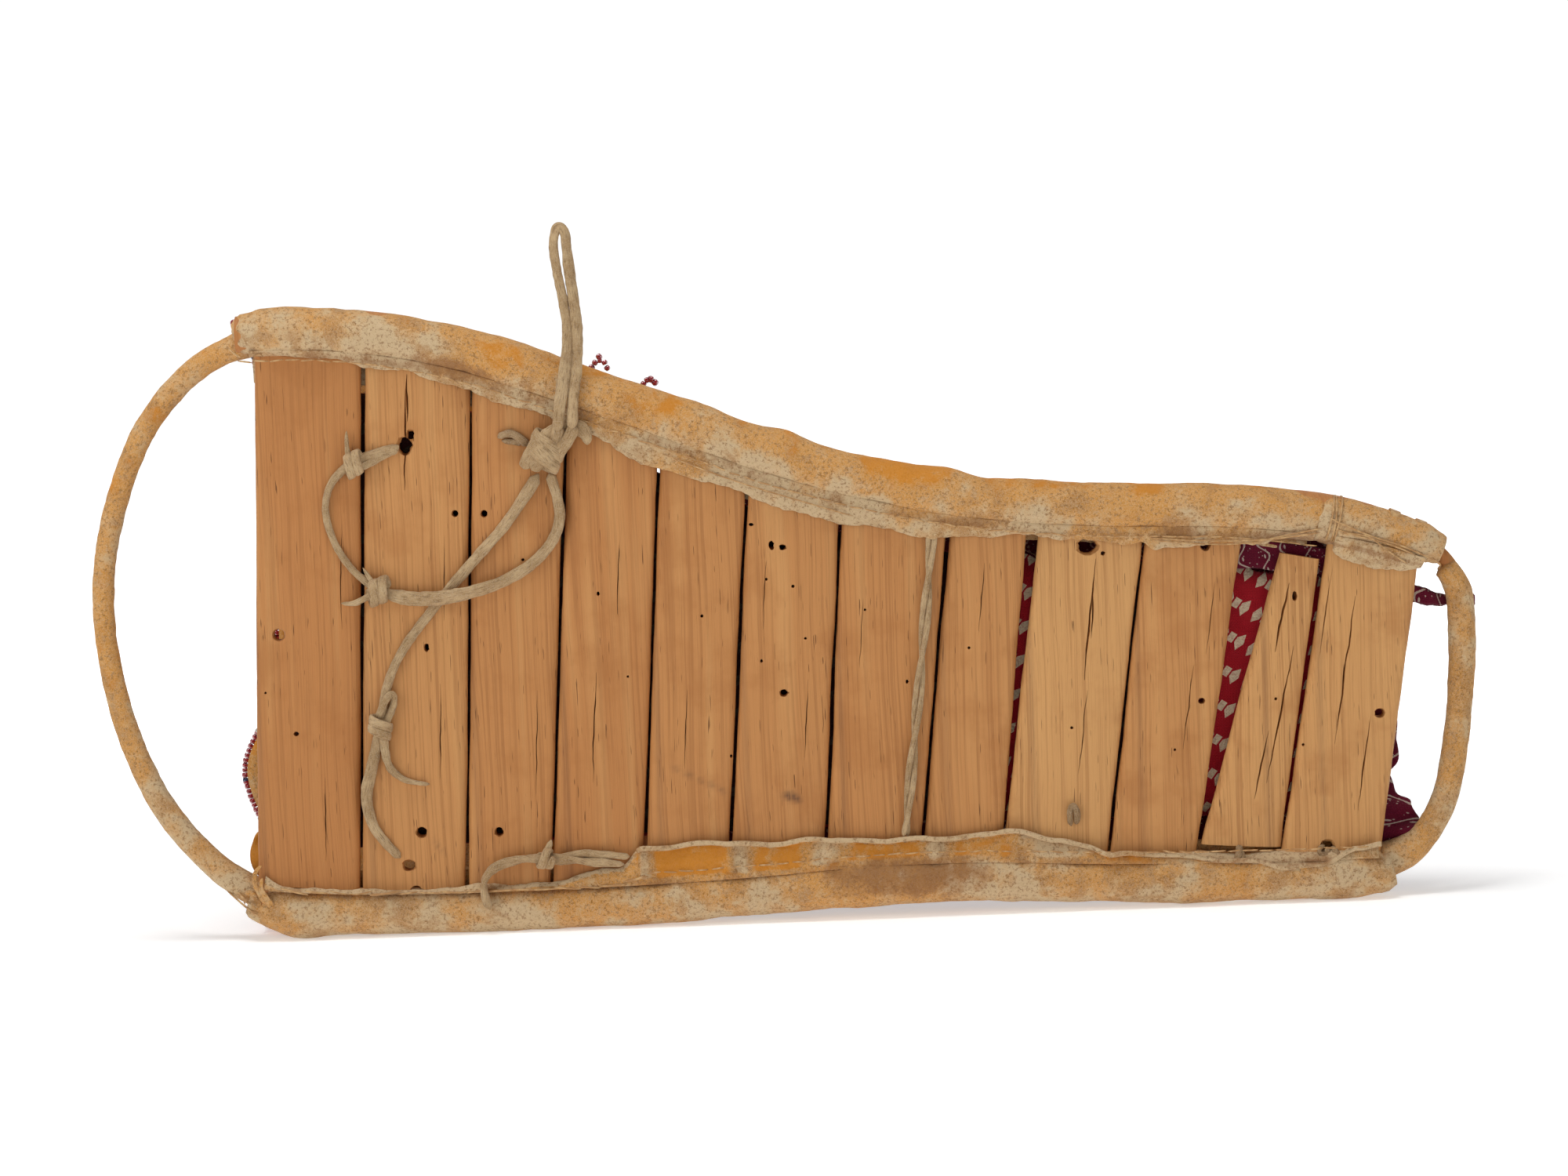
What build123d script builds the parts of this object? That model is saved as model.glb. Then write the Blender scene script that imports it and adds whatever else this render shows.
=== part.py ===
"""A hide-covered cradleboard, resting on one long side rail, in millimetres.

X runs from the head to the foot, Y from the slatted back to the bag and hood, and Z is up. Two poles inside
hide tubes are the side rails, a bent rod closes each end, and twelve slats are held between the hems of the
tubes. The origin is under the middle of the box, on the surface that the rail rests on.
"""

import math
import os

from build123d import *

# The two side rails
POLE_R = 6.8
RAIL_ROOM = 3.2
RAIL_R = POLE_R + RAIL_ROOM
HIDE = 1.3
REST_Z = RAIL_R
HEAD_X = -204.0
FOOT_X = 247.0
FOOT_COVER_X = 204.0
LOWER_END_X = 226.0
COVER_GAP = 0.4
RISE = 231.3
UPPER_RAIL = [(HEAD_X, RISE), (-150, RISE + 2.2), (-52, RISE - 33.8), (10, RISE - 59.3), (90, RISE - 77.8),
              (208, RISE - 80.8), (254, RISE - 100.3)]
LOWER_RAIL = [(HEAD_X, REST_Z + 4.3), (-176, REST_Z), (-40, REST_Z), (50, REST_Z + 5.8),
              (143, REST_Z), (LOWER_END_X, REST_Z)]
UPPER_HEM = RAIL_R + 5.0
LOWER_HEM = RAIL_R + 10.0
FRONT_HEM = RAIL_R + 4.0
LOW_HEM_X = -57.0
LOW_HEM = RAIL_R + 3.0
SPARE = 9.0

# The bent rods at the two ends
ROD_R = 2.9
ROD_PROUD = 1.0
ROD_Y = POLE_R + ROD_PROUD - ROD_R
ROD_GAP = 0.2
SLEEVE_GAP = 0.1
HEAD_SLEEVE_R = ROD_R + 1.5
FOOT_SLEEVE_R = ROD_R + 2.1
LAP = 34.0
UPPER_LAP = LAP + 6.0
HEAD_BOW = [(-166, RISE + 1.6), (-203, RISE), (-238, RISE - 26.3), (-257.5, RISE - 73.3), (-260.5, 113),
            (-247.5, 62), (-224, 29), (-200, REST_Z + 3.6), (-172, REST_Z + 0.1)]
FOOT_BOW = [(192, REST_Z), (230, REST_Z), (250, 30), (256.5, 62), (259.5, 96), (257.5, RISE - 101.8),
            (226, RISE - 88.4)]
FOOT_SLEEVE_TOP = 117.0
RING_WALL = 0.5
RING_WIDTH = 4.0
RING_GAP = 0.1
RING_R = POLE_R + ROD_PROUD / 2 + RING_GAP
RING_SHIFT = RING_R - POLE_R - RING_GAP / 2
UPPER_RINGS = (HEAD_X + 12, HEAD_X + 24, FOOT_X - 16, FOOT_X - 6)
LOWER_RINGS = (HEAD_X + 15, LOWER_END_X - 23, LOWER_END_X - 11)
HEAD_SLEEVE_END = HEAD_X - 2.6
FOOT_SLEEVE_END = LOWER_END_X + 0.6

# The slats, from the head to the foot: width, gap to the next, and the lean of the two long edges in degrees
SLAT_START_X = -201.0
SLAT_LEVEL = 110.0
SLATS = [(39.6, 1.2, 2.4, 2.8), (39.6, 1.2, 2.8, 2.9), (33.2, 1.2, 2.9, 4.2), (34.2, 1.2, 4.2, 4.3),
         (32.2, 1.2, 4.3, 4.8), (35.2, 1.2, 4.8, 4.7), (38.6, 1.2, 4.7, 6.6), (29.6, 3.4, 6.6, 6.3),
         (39.8, 1.2, 8.2, 8.2), (36.0, 12.2, 8.2, 9.9), (18.8, 2.0, 16.8, 9.3), (36.0, 0.0, 10.2, 8.8)]
SLAT_BACK = -3.0
SLAT_T = 5.5
SLAT_EDGE_R = 1.6
SEAT_GAP = 0.3
SLAT_SEAT = RING_R + RING_WALL + SEAT_GAP - POLE_R
HEM_GAP = 0.3
HEM_FACE = SLAT_BACK - HEM_GAP - HIDE
TIE_HOLE_R = 2.1
WIDE_HOLE_R = 2.6
WORM_HOLE_R = 1.2
HOLES = {1: [(-192, 117, TIE_HOLE_R)],
         2: [(-141, 187, WIDE_HOLE_R), (-123, 160.5, WORM_HOLE_R), (-146.5, 27, WIDE_HOLE_R)],
         3: [(-112, 160, WORM_HOLE_R), (-111.5, 38.5, WORM_HOLE_R)],
         6: [(-3.5, 144, WORM_HOLE_R), (-1, 87.5, WORM_HOLE_R)],
         9: [(116.5, 137, TIE_HOLE_R)],
         10: [(161, 136, WORM_HOLE_R), (157.8, 78.3, WORM_HOLE_R)],
         12: [(225.5, 71, TIE_HOLE_R), (204, 20, WORM_HOLE_R)]}
LOOSE_SLAT = 11
LOOSE_TOP_Z = 131.0
LOOSE_FOOT_GAP = 3.0
PIVOT_PIN_R = 1.8
PIVOT_HEAD_R = 3.0
PIVOT_GAP = 0.3

# Sinew and thongs
SINEW_R = 0.5
SEAM_OFF = RAIL_R + 0.9
LOOSE_PIVOT = (170.5, REST_Z + SEAM_OFF + 4.6)
SEAM_GAP = 0.1
SEAM_X = (HEAD_X + 4, HEAD_X + 12, FOOT_COVER_X - 4)
CORNER_RING_R = RAIL_R + 0.05
CORNER_RING_WALL = 0.5
CORNER_RINGS = (FOOT_COVER_X + 5, FOOT_COVER_X + 7.5, FOOT_COVER_X + 15)
CORNER_RING_WIDTH = 1.2
HEAD_TIE_WIDTH = 3.0
THONG_R = 1.7
THIN_THONG_R = 1.5
CROSS_R = 0.95
KNOT_R = 3.6
TAIL_R = 1.1
LIE_GAP = 0.3
LIE_Y = SLAT_BACK - THONG_R - LIE_GAP
LONG_THONG = [(-90.5, LIE_Y, 174.5), (-101, LIE_Y, 158.5), (-115, LIE_Y, 144), (-126, LIE_Y, 132.5),
              (-136.5, LIE_Y, 120.5), (-145, LIE_Y, 110), (-151.5, LIE_Y, 97.5), (-154.5, LIE_Y, 82.5),
              (-158, LIE_Y, 67), (-161.5, LIE_Y, 56), (-160.5, LIE_Y, 45), (-155.5, LIE_Y, 36.5),
              (-149.5, LIE_Y, 30)]
CROSS_Y = LIE_Y - 2 * THONG_R - LIE_GAP
SLACK_THONG = [(-86.5, LIE_Y, 174.5), (-83, LIE_Y, 164), (-83.5, LIE_Y, 153), (-91, LIE_Y - 0.3, 142.5),
               (-104, LIE_Y - 1.5, 134.5), (-118, CROSS_Y, 130.5), (-133, CROSS_Y, 128.5),
               (-145, LIE_Y - 1.5, 129.5), (-154, LIE_Y, 133), (-163, LIE_Y, 140.5), (-169.5, LIE_Y, 151.5),
               (-172.5, LIE_Y, 164), (-169.5, LIE_Y, 174.5), (-161, LIE_Y, 181.5), (-150, LIE_Y, 185),
               (-143, LIE_Y, 186)]
LOWER_THONG = [(-115.5, -12.2, 10), (-119, -9.8, 18), (-115, -7.2, 25.5), (-104, -6.6, 28), (-94, -6.6, 27.2),
               (-78.5, -6.8, 25.3), (-64, -7.0, 22.5)]
CROSS_CORD = [(57.4, 146), (43.2, 31)]
CROSS_SPACING = 2.3
KNOTS = {"long": [(-154.5, 82.5)], "slack": [(-152.5, 132.5), (-160.5, 181.5)], "lower": [(-94.5, 27.2)]}

TIE_ENDS = [(-100.5, 189.5, 80, 8), (108, REST_Z + LOWER_HEM + 9.0, 10, 9),
            (204, REST_Z + LOWER_HEM + 5.0, 0, 10)]
PIN_HEAD = 1.6

# The hang loop, a doubled strap that swings at its knot
KNOT_SIZE = (20.0, 5.0, 16.0)
KNOT_PLACE = (-85.5, 184.0)
KNOT_TAIL = (15.0, 4.0)
LOOP_Y = -(RAIL_R + THONG_R + 0.5)
LOOP_FOOT_Z = 191.0
LOOP_TOP_Z = 265.0
LOOP_X = -78.5
LOOP_SPREAD = 6.2

# The bed, the bag and the hood on the front
PAD_T = 9.0
PAD_INSET = FRONT_HEM
PAD_GAP = 0.3
PAD_X = (-190.0, 224.0)
CLOTH = 1.6
CLOTH_GAP = 0.3
BAG_X = (-46.0, 24.0, 96.0, 168.0, 230.0)
BAG_Y = CORNER_RING_R + CORNER_RING_WALL + 0.25
BAG_DEPTH = (46.0, 43.0, 40.0, 38.0, 30.0)
BAG_SLIT = 14.0
LACE_COUNT = 9
LACE_R = 1.2
LACE_LIFT = 0.2
LACE_REACH = 5.0
LACE_END = 12.0
HOOD_X = (-205.0, -165.0, -130.0, -50.0)
HOOD_Y = RAIL_R - 0.1
HOOD_DEPTH = 90.0
HOOD_DROP = 4.5
HOOD_WALL = 1.8
HOOD_CORNER = 50.0
HOOD_BOW_R = 3.0
HOOD_BOW_GAP = 0.4
HOOD_BOW_X = (-196.0, -58.0)
BEAD_R = 1.3
BEAD_GAP = 0.5
BEAD_INSET = 0.3
FOOT_TIE_Z = 112.0
FOOT_TIE_WIDTH = 6.0
FOOT_TIE_WALL = 0.8

CORD_NODES = ("hang_loop", "hang_knot", "long_thong", "slack_thong", "lower_thong", "thong_knots",
              "cross_cord_left", "cross_cord_right")
RAIL_SPAN = 600.0
radii_of = {}


def at_y(points, y=0.0):
    """Puts a side outline of (x, z) pairs in the plane at depth y."""
    return [(x, y, z) for x, z in points]


def smooth_path(name, points, share=0.45):
    """Joins straight runs by arcs as large as the two runs beside each corner allow."""
    corners = [Vector(*p) for p in points]
    radii = []
    for before, here, after in zip(corners, corners[1:], corners[2:]):
        first, second = here - before, after - here
        half_turn = math.radians(first.get_angle(second)) / 2
        radii.append(share * min(first.length, second.length) / math.tan(half_turn))
    radii_of[name] = radii
    return FilletPolyline(*points, radius=radii)


def start_plane(path):
    """The plane across a path's start, with its first axis along Y."""
    return Plane(origin=path @ 0, x_dir=(0, 1, 0), z_dir=path % 0)


def tube(path, outer, inner=0.0):
    """A round bar or pipe along a path."""
    plane = Plane(origin=path @ 0, z_dir=path % 0)
    section = Circle(outer) - Circle(inner) if inner else Circle(outer)
    return sweep(plane * section, path=path)


def height_at(path, x):
    """The height of a rail's centreline at a place along X."""
    low, high = 0.0, 1.0
    for _ in range(40):
        middle = (low + high) / 2
        low, high = (middle, high) if (path @ middle).X < x else (low, middle)
    return (path @ low).Z


def cut_box(x0, x1, y0, y1, z0, z1):
    """A box given by its two corners."""
    return Pos((x0 + x1) / 2, (y0 + y1) / 2, (z0 + z1) / 2) * Box(x1 - x0, y1 - y0, z1 - z0)


def across(path, x):
    """The plane across a rail at a place along X, with its first axis along Y."""
    z, step = height_at(path, x), 1.0
    slope = (height_at(path, x + step) - height_at(path, x - step)) / (2 * step)
    return Plane(origin=(x, 0, z), x_dir=(0, 1, 0), z_dir=(1, 0, slope))


def group(solids):
    """Several separate solids in one node."""
    return Compound(children=[s for piece in solids for s in piece.solids()])


upper_path = smooth_path("upper rail", at_y(UPPER_RAIL))
lower_path = smooth_path("lower rail", at_y(LOWER_RAIL))
head_path = smooth_path("head bow", at_y(HEAD_BOW, ROD_Y))
foot_path = smooth_path("foot bow", at_y(FOOT_BOW, ROD_Y))


def pole(path, x0, x1, laps):
    """A side pole, with a flat cut where each bent rod lies beside it."""
    bar = tube(path, POLE_R) & cut_box(x0, x1, -RAIL_SPAN, RAIL_SPAN, -RAIL_SPAN, RAIL_SPAN)
    flat = ROD_Y - ROD_R - ROD_GAP
    for a, b in laps:
        bar -= cut_box(a, b, flat, RAIL_R, 0, RAIL_SPAN)
    return bar


def rail_section(side, back_hem):
    """A hide tube, open along one side, with a hem on each face of the slats."""
    inner = RAIL_R - HIDE
    back, front = SLAT_BACK - HEM_GAP, SLAT_BACK + SLAT_T + HEM_GAP
    ring = Circle(RAIL_R) - Circle(inner)
    ring -= Pos((back + front) / 2, side * RAIL_R) * Rectangle(front - back, RAIL_R)
    root = inner - HIDE
    for x, reach in ((back - HIDE / 2, back_hem), (front + HIDE / 2, FRONT_HEM)):
        ring += Pos(x, side * (root + reach) / 2) * Rectangle(HIDE, reach - root)
    return ring - Circle(inner)


def rail_cover(path, side, back_hem):
    return sweep(start_plane(path) * rail_section(side, back_hem), path=path)


def upper_covers():
    """The long cover and the separate one at the foot corner, which has no hem."""
    whole = rail_cover(upper_path, -1, UPPER_HEM)
    far = RAIL_SPAN
    long_cover = whole & cut_box(-far, FOOT_COVER_X, -far, far, -far, far)
    corner = tube(upper_path, RAIL_R, RAIL_R - HIDE)
    end = across(upper_path, FOOT_X)
    keep = end * Pos(0, 0, -far / 2) * Box(far, far, far)
    corner = (corner & keep) & cut_box(FOOT_COVER_X + COVER_GAP, far, -far, far, -far, far)
    slot = slat_slot(upper_path, -1)
    return long_cover, corner - slot


def slat_slot(path, side):
    """The room that the slats' ends take in a tube with no hem."""
    width = SLAT_T + 2 * HEM_GAP
    section = Pos(SLAT_BACK + SLAT_T / 2, side * RAIL_R) * Rectangle(width, RAIL_R)
    return sweep(start_plane(path) * section, path=path)


def lower_cover():
    """The lower tube, whose back hem is short along the head half."""
    cover = rail_cover(lower_path, 1, LOWER_HEM)
    low = cut_box(HEAD_X - 10, LOW_HEM_X, -RAIL_R, SLAT_BACK, REST_Z + LOW_HEM, REST_Z + LOWER_HEM + SPARE)
    x, z = LOOSE_PIVOT
    return cover - low - cut_cylinder(x, z, PIVOT_PIN_R + SEAM_GAP, -RAIL_R, RAIL_R)


def sleeve(path, outer, keep):
    return tube(path, outer, ROD_R + SLEEVE_GAP) & keep


def lashings():
    """Sinew rings that hold the bent rods to the poles."""
    rings = []
    section = Circle(RING_R + RING_WALL) - Circle(RING_R)
    ring = Pos(RING_SHIFT, 0, 0) * extrude(section, RING_WIDTH / 2, both=True)
    for path, places in ((upper_path, UPPER_RINGS), (lower_path, LOWER_RINGS)):
        rings += [across(path, x) * ring for x in places]
    return group(rings)


def edge_x(level_x, lean, z):
    """Where a slat's long edge is at a height, from its place at SLAT_LEVEL and its lean."""
    return level_x + (z - SLAT_LEVEL) * math.tan(math.radians(lean))


def slat_end(path, side, left, right, gap):
    """The two ends of a slat's end cut, clear of the pole all along it."""
    off = side * (POLE_R + gap)
    ends = []
    for level_x, lean in (left, right):
        z = SLAT_LEVEL
        for _ in range(6):
            z = height_at(path, edge_x(level_x, lean, z)) + off
        ends.append((edge_x(level_x, lean, z), z))
    (xa, za), (xb, zb) = ends
    middle = height_at(path, (xa + xb) / 2) + off - (za + zb) / 2
    lift = max(0.0, middle * side) * side * 2
    slope = abs(zb - za) / abs(xb - xa)
    lift += side * off * side * (math.hypot(1, slope) - 1)
    return [(x, z + lift) for x, z in ends]


def slat(number):
    """One slat between the poles, with rounded long edges and its holes."""
    x = SLAT_START_X + sum(width + gap for width, gap, _, _ in SLATS[:number - 1])
    width, _, lean_left, lean_right = SLATS[number - 1]
    left, right = (x, lean_left), (x + width, lean_right)
    loose = number == LOOSE_SLAT
    foot = slat_end(lower_path, 1, left, right, LOOSE_FOOT_GAP if loose else SLAT_SEAT)
    top = slat_end(upper_path, -1, left, right, SLAT_SEAT)
    if loose:
        top = [(edge_x(*edge, LOOSE_TOP_Z), LOOSE_TOP_Z) for edge in (left, right)]
    outline = at_y([foot[0], foot[1], top[1], top[0]], SLAT_BACK + SLAT_T)
    board = extrude(make_face(Polyline(*outline, close=True)), SLAT_T, dir=(0, -1, 0))
    long_edges = [e for e in board.edges().filter_by(GeomType.LINE)
                  if abs((e @ 1 - e @ 0).Z) > SLAT_LEVEL / 2]
    board = fillet(long_edges, SLAT_EDGE_R)
    holes = HOLES.get(number, [])
    if loose:
        holes = [(*LOOSE_PIVOT, PIVOT_PIN_R + PIVOT_GAP)]
    for hole_x, hole_z, radius in holes:
        board -= Pos(hole_x, 0, hole_z) * Rot(90, 0, 0) * Cylinder(radius, 4 * SLAT_T)
    return board


def seam(path, side, x0, x1):
    """A sinew cord laid along the foot of a cover's tube."""
    plane = start_plane(path)
    place = Pos(HEM_FACE - SINEW_R - SEAM_GAP, side * SEAM_OFF)
    keep = cut_box(x0, x1, -RAIL_SPAN, RAIL_SPAN, -RAIL_SPAN, RAIL_SPAN)
    return sweep(plane * place * Circle(SINEW_R), path=path) & keep


def open_rings(path, side, places, width):
    """Bands round a cover, open where the slats are."""
    section = Circle(CORNER_RING_R + CORNER_RING_WALL) - Circle(CORNER_RING_R)
    section -= Pos(0, side * RAIL_R) * Rectangle(2 * RAIL_R, RAIL_R)
    return group([across(path, x) * extrude(section, width / 2, both=True) for x in places])


def pivot_pin():
    """The thong stub that the loose slat turns on, knotted at the back of the hem."""
    x, z = LOOSE_PIVOT
    back = HEM_FACE - SEAM_GAP
    shank = cut_cylinder(x, z, PIVOT_PIN_R, back, SLAT_BACK + SLAT_T + HEM_GAP + HIDE)
    head = cut_cylinder(x, z, PIVOT_HEAD_R, back - PIN_HEAD, back)
    return shank + head


def cut_cylinder(x, z, radius, y0, y1):
    """A round bar along Y between two depths."""
    return Pos(x, (y0 + y1) / 2, z) * Rot(90, 0, 0) * Cylinder(radius, y1 - y0)


def stub(x, z, turn, length, radius=THIN_THONG_R):
    """A short end of thong that lies on a slat."""
    y = SLAT_BACK - radius - LIE_GAP
    return Pos(x, y, z) * Rot(0, turn, 0) * Cylinder(radius, length)


def slat_ties():
    """The short tie ends that show at three slats."""
    return group([stub(*end) for end in TIE_ENDS])


def knot(place, cord, tails):
    """A knot round a thong, with its free ends."""
    x, z = place
    y = SLAT_BACK - KNOT_R - 0.2
    body = Pos(x, y, z) * Sphere(KNOT_R)
    for dx, dz in tails:
        path = Line((x, y, z), (x + dx, y, z + dz))
        body += tube(path, TAIL_R)
    return body - cord


def thong_knots(long_thong, slack_thong, lower_thong):
    tails = {"long": [[(10, -8)]], "slack": [[(-13, -4)], [(-2, 11)]], "lower": [[(3, -5)]]}
    cords = {"long": long_thong, "slack": slack_thong, "lower": lower_thong}
    return group([knot(place, cords[name], ends) for name, places in KNOTS.items()
                  for place, ends in zip(places, tails[name])])


def hang_loop():
    """Two strands and the fold between them, with round lower ends at the pivot."""
    half = LOOP_SPREAD / 2
    top = [(LOOP_X - half, LOOP_Y, LOOP_FOOT_Z), (LOOP_X - half, LOOP_Y, LOOP_TOP_Z),
           (LOOP_X + half, LOOP_Y, LOOP_TOP_Z), (LOOP_X + half, LOOP_Y, LOOP_FOOT_Z)]
    body = tube(FilletPolyline(*top, radius=half * 0.96), THONG_R)
    for x in (LOOP_X - half, LOOP_X + half):
        body += Pos(x, LOOP_Y, LOOP_FOOT_Z) * Sphere(THONG_R)
    return body


def hang_knot():
    """The large knot behind the loop's lower ends, with one free end."""
    x, z = KNOT_PLACE
    y = HEM_FACE - LIE_GAP - KNOT_SIZE[1] / 2
    reach, rise = KNOT_TAIL
    body = Box(*KNOT_SIZE)
    body = Pos(x, y, z) * fillet(body.edges(), KNOT_SIZE[1] * 0.45)
    return body + tube(Line((x, y, z + rise - 1), (x + reach, y, z + rise)), THONG_R)


def cross_strand(side):
    """One of the two strands that lie side by side down a slat."""
    (xa, za), (xb, zb) = CROSS_CORD
    y = HEM_FACE - CROSS_R - LIE_GAP
    shift = side * CROSS_SPACING / 2
    return tube(Line((xa + shift, y, za), (xb + shift, y, zb)), CROSS_R)


def bed_pad():
    """The cloth-covered bed on the front of the slats."""
    stations = [PAD_X[0]] + [x for x, _ in UPPER_RAIL[1:-2]] + [FOOT_COVER_X, PAD_X[1]]
    low = [(x, height_at(lower_path, x) + PAD_INSET) for x in stations]
    high = [(x, height_at(upper_path, x) - PAD_INSET) for x in reversed(stations)]
    start = SLAT_BACK + SLAT_T + HEM_GAP + HIDE + PAD_GAP
    face = make_face(Polyline(*at_y(low + high, start), close=True))
    return extrude(face, PAD_T, dir=(0, 1, 0))


def bag_station(x, depth):
    """The bag's axis at a place along X: its furthest point out, its middle height and its half height."""
    low = height_at(lower_path, min(x, LOWER_END_X - 1))
    high = height_at(upper_path, x)
    return BAG_Y + depth, (low + high) / 2, (high - low) / 2


def bag_sections(inset):
    """The bag's outer or inner form at each station: ellipses across X."""
    faces = []
    for x, depth in zip(BAG_X, BAG_DEPTH):
        _, middle, half = bag_station(x, depth)
        plane = Plane(origin=(x, BAG_Y, middle), x_dir=(0, 1, 0), z_dir=(1, 0, 0))
        faces.append(plane * Ellipse(depth - inset, half - inset))
    return faces


def bag():
    """The two side flaps and the pouch that closes the bag at the foot."""
    far = RAIL_SPAN
    front = cut_box(-far, far, BAG_Y, far, 0, far)
    outer, inner = bag_sections(0), bag_sections(CLOTH)
    sides = loft(outer[:-1], ruled=True) - loft(inner[:-1], ruled=True)
    sides = (sides & front) - ridge_slit() - cut_box(BAG_X[-2] - COVER_GAP, BAG_X[-2], 0, far, 0, far)
    pouch = loft(outer[-2:], ruled=True) - loft(inner[-2:], ruled=True)
    end_wall = extrude(outer[-1], CLOTH, dir=(1, 0, 0))
    lower, upper = sorted(sides.solids(), key=lambda s: s.center().Z)
    return lower, upper, (pouch + end_wall) & front


def ridge(x):
    """The bag's furthest line out, between two stations."""
    for (xa, da), (xb, db) in zip(zip(BAG_X, BAG_DEPTH), zip(BAG_X[1:], BAG_DEPTH[1:])):
        if xa <= x <= xb:
            share = (x - xa) / (xb - xa)
            (ya, za, _), (yb, zb, _) = bag_station(xa, da), bag_station(xb, db)
            return ya + share * (yb - ya), za + share * (zb - za)


def ridge_slit():
    """The opening between the flaps, along the bag's ridge."""
    half = BAG_SLIT / 2
    stations = BAG_X[:-1]
    low = [(x, ridge(x)[1] - half) for x in stations]
    high = [(x, ridge(x)[1] + half) for x in reversed(stations)]
    face = make_face(Polyline(*at_y(low + high, BAG_Y + BAG_DEPTH[-2] / 2), close=True))
    return extrude(face, RAIL_SPAN, dir=(0, 1, 0))


def flap_lacing():
    """Thong rungs across the opening between the flaps."""
    first, last = BAG_X[0] + LACE_END, BAG_X[-2] - LACE_END
    rungs = []
    for i in range(LACE_COUNT):
        x = first + (last - first) * i / (LACE_COUNT - 1)
        y, z = ridge(x)
        rungs.append(Pos(x, y + LACE_R + LACE_LIFT, z) * Cylinder(LACE_R, BAG_SLIT + 2 * LACE_REACH))
    return group(rungs)


def hood_height(x):
    return height_at(upper_path, max(x, HEAD_X)) + HOOD_DROP


def hood_profile(x, inset):
    """The hood's section across X: flat along the two rails and round at the top."""
    high = hood_height(x)
    y0, y1 = (HOOD_Y if not inset else HOOD_Y - 5), HOOD_DEPTH - inset
    plane = Plane(origin=(x, (y0 + y1) / 2, high / 2), x_dir=(0, 1, 0), z_dir=(1, 0, 0))
    box = plane * Rectangle(y1 - y0, high - 2 * inset)
    corners = [v for v in box.vertices() if v.Y > HOOD_DEPTH / 2]
    return fillet(corners, HOOD_CORNER - inset)


def hood_cover():
    """The hide over the two hood bows, open at the head, the foot and the bed."""
    outer = loft([hood_profile(x, 0) for x in HOOD_X], ruled=True)
    inner = loft([hood_profile(x, HOOD_WALL) for x in HOOD_X], ruled=True)
    return outer - inner


def hood_arch(x, inset, radius):
    """A bar along the hood's section."""
    high = hood_height(x)
    y0, y1 = HOOD_Y + 0.3, HOOD_DEPTH - inset
    points = [(x, y0, inset), (x, y1, inset), (x, y1, high - inset), (x, y0, high - inset)]
    return tube(FilletPolyline(*points, radius=HOOD_CORNER - inset), radius)


def hood_bow(x):
    return hood_arch(x, HOOD_WALL + HOOD_BOW_GAP + HOOD_BOW_R, HOOD_BOW_R)


def bead_edging():
    """A string of beads along each open edge of the hood."""
    gap, inset = BEAD_R + BEAD_GAP, BEAD_R + BEAD_INSET
    return group([hood_arch(x, inset, BEAD_R) for x in (HOOD_X[0] - gap, HOOD_X[-1] + gap)])


def foot_tie():
    """The cloth strip from the bag to the rod at the foot."""
    z, half = FOOT_TIE_Z, FOOT_TIE_WIDTH / 2
    plane = across_foot(z)
    inner = FOOT_SLEEVE_R + CLOTH_GAP
    section = Circle(inner + FOOT_TIE_WALL) - Circle(inner)
    ring = plane * extrude(section, half, both=True)
    x = plane.origin.X - inner - FOOT_TIE_WALL / 2 + 0.1
    bag_end = BAG_X[-1] + CLOTH + CLOTH_GAP
    return ring + cut_box(bag_end, x, ROD_Y - CLOTH / 2, ROD_Y + CLOTH / 2, z - half, z + half)


def placed(nodes):
    """Moves the model so that its box, without its cords, is centred over the origin and rests on it."""
    boxes = [shape.bounding_box() for name, shape in nodes.items() if name not in CORD_NODES]
    low = [min(getattr(box.min, axis) for box in boxes) for axis in "XYZ"]
    high = [max(getattr(box.max, axis) for box in boxes) for axis in "XYZ"]
    shift = (-(low[0] + high[0]) / 2, -(low[1] + high[1]) / 2, -low[2])
    print("shift", [round(v, 3) for v in shift])
    return {name: Pos(*shift) * shape for name, shape in nodes.items()}


def across_foot(z):
    """The plane across the foot bow at a height on its upright stretch."""
    low, high = 0.4, 0.75
    for _ in range(30):
        middle = (low + high) / 2
        low, high = (middle, high) if (foot_path @ middle).Z < z else (low, middle)
    return Plane(origin=foot_path @ low, x_dir=(0, 1, 0), z_dir=foot_path % low)


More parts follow.
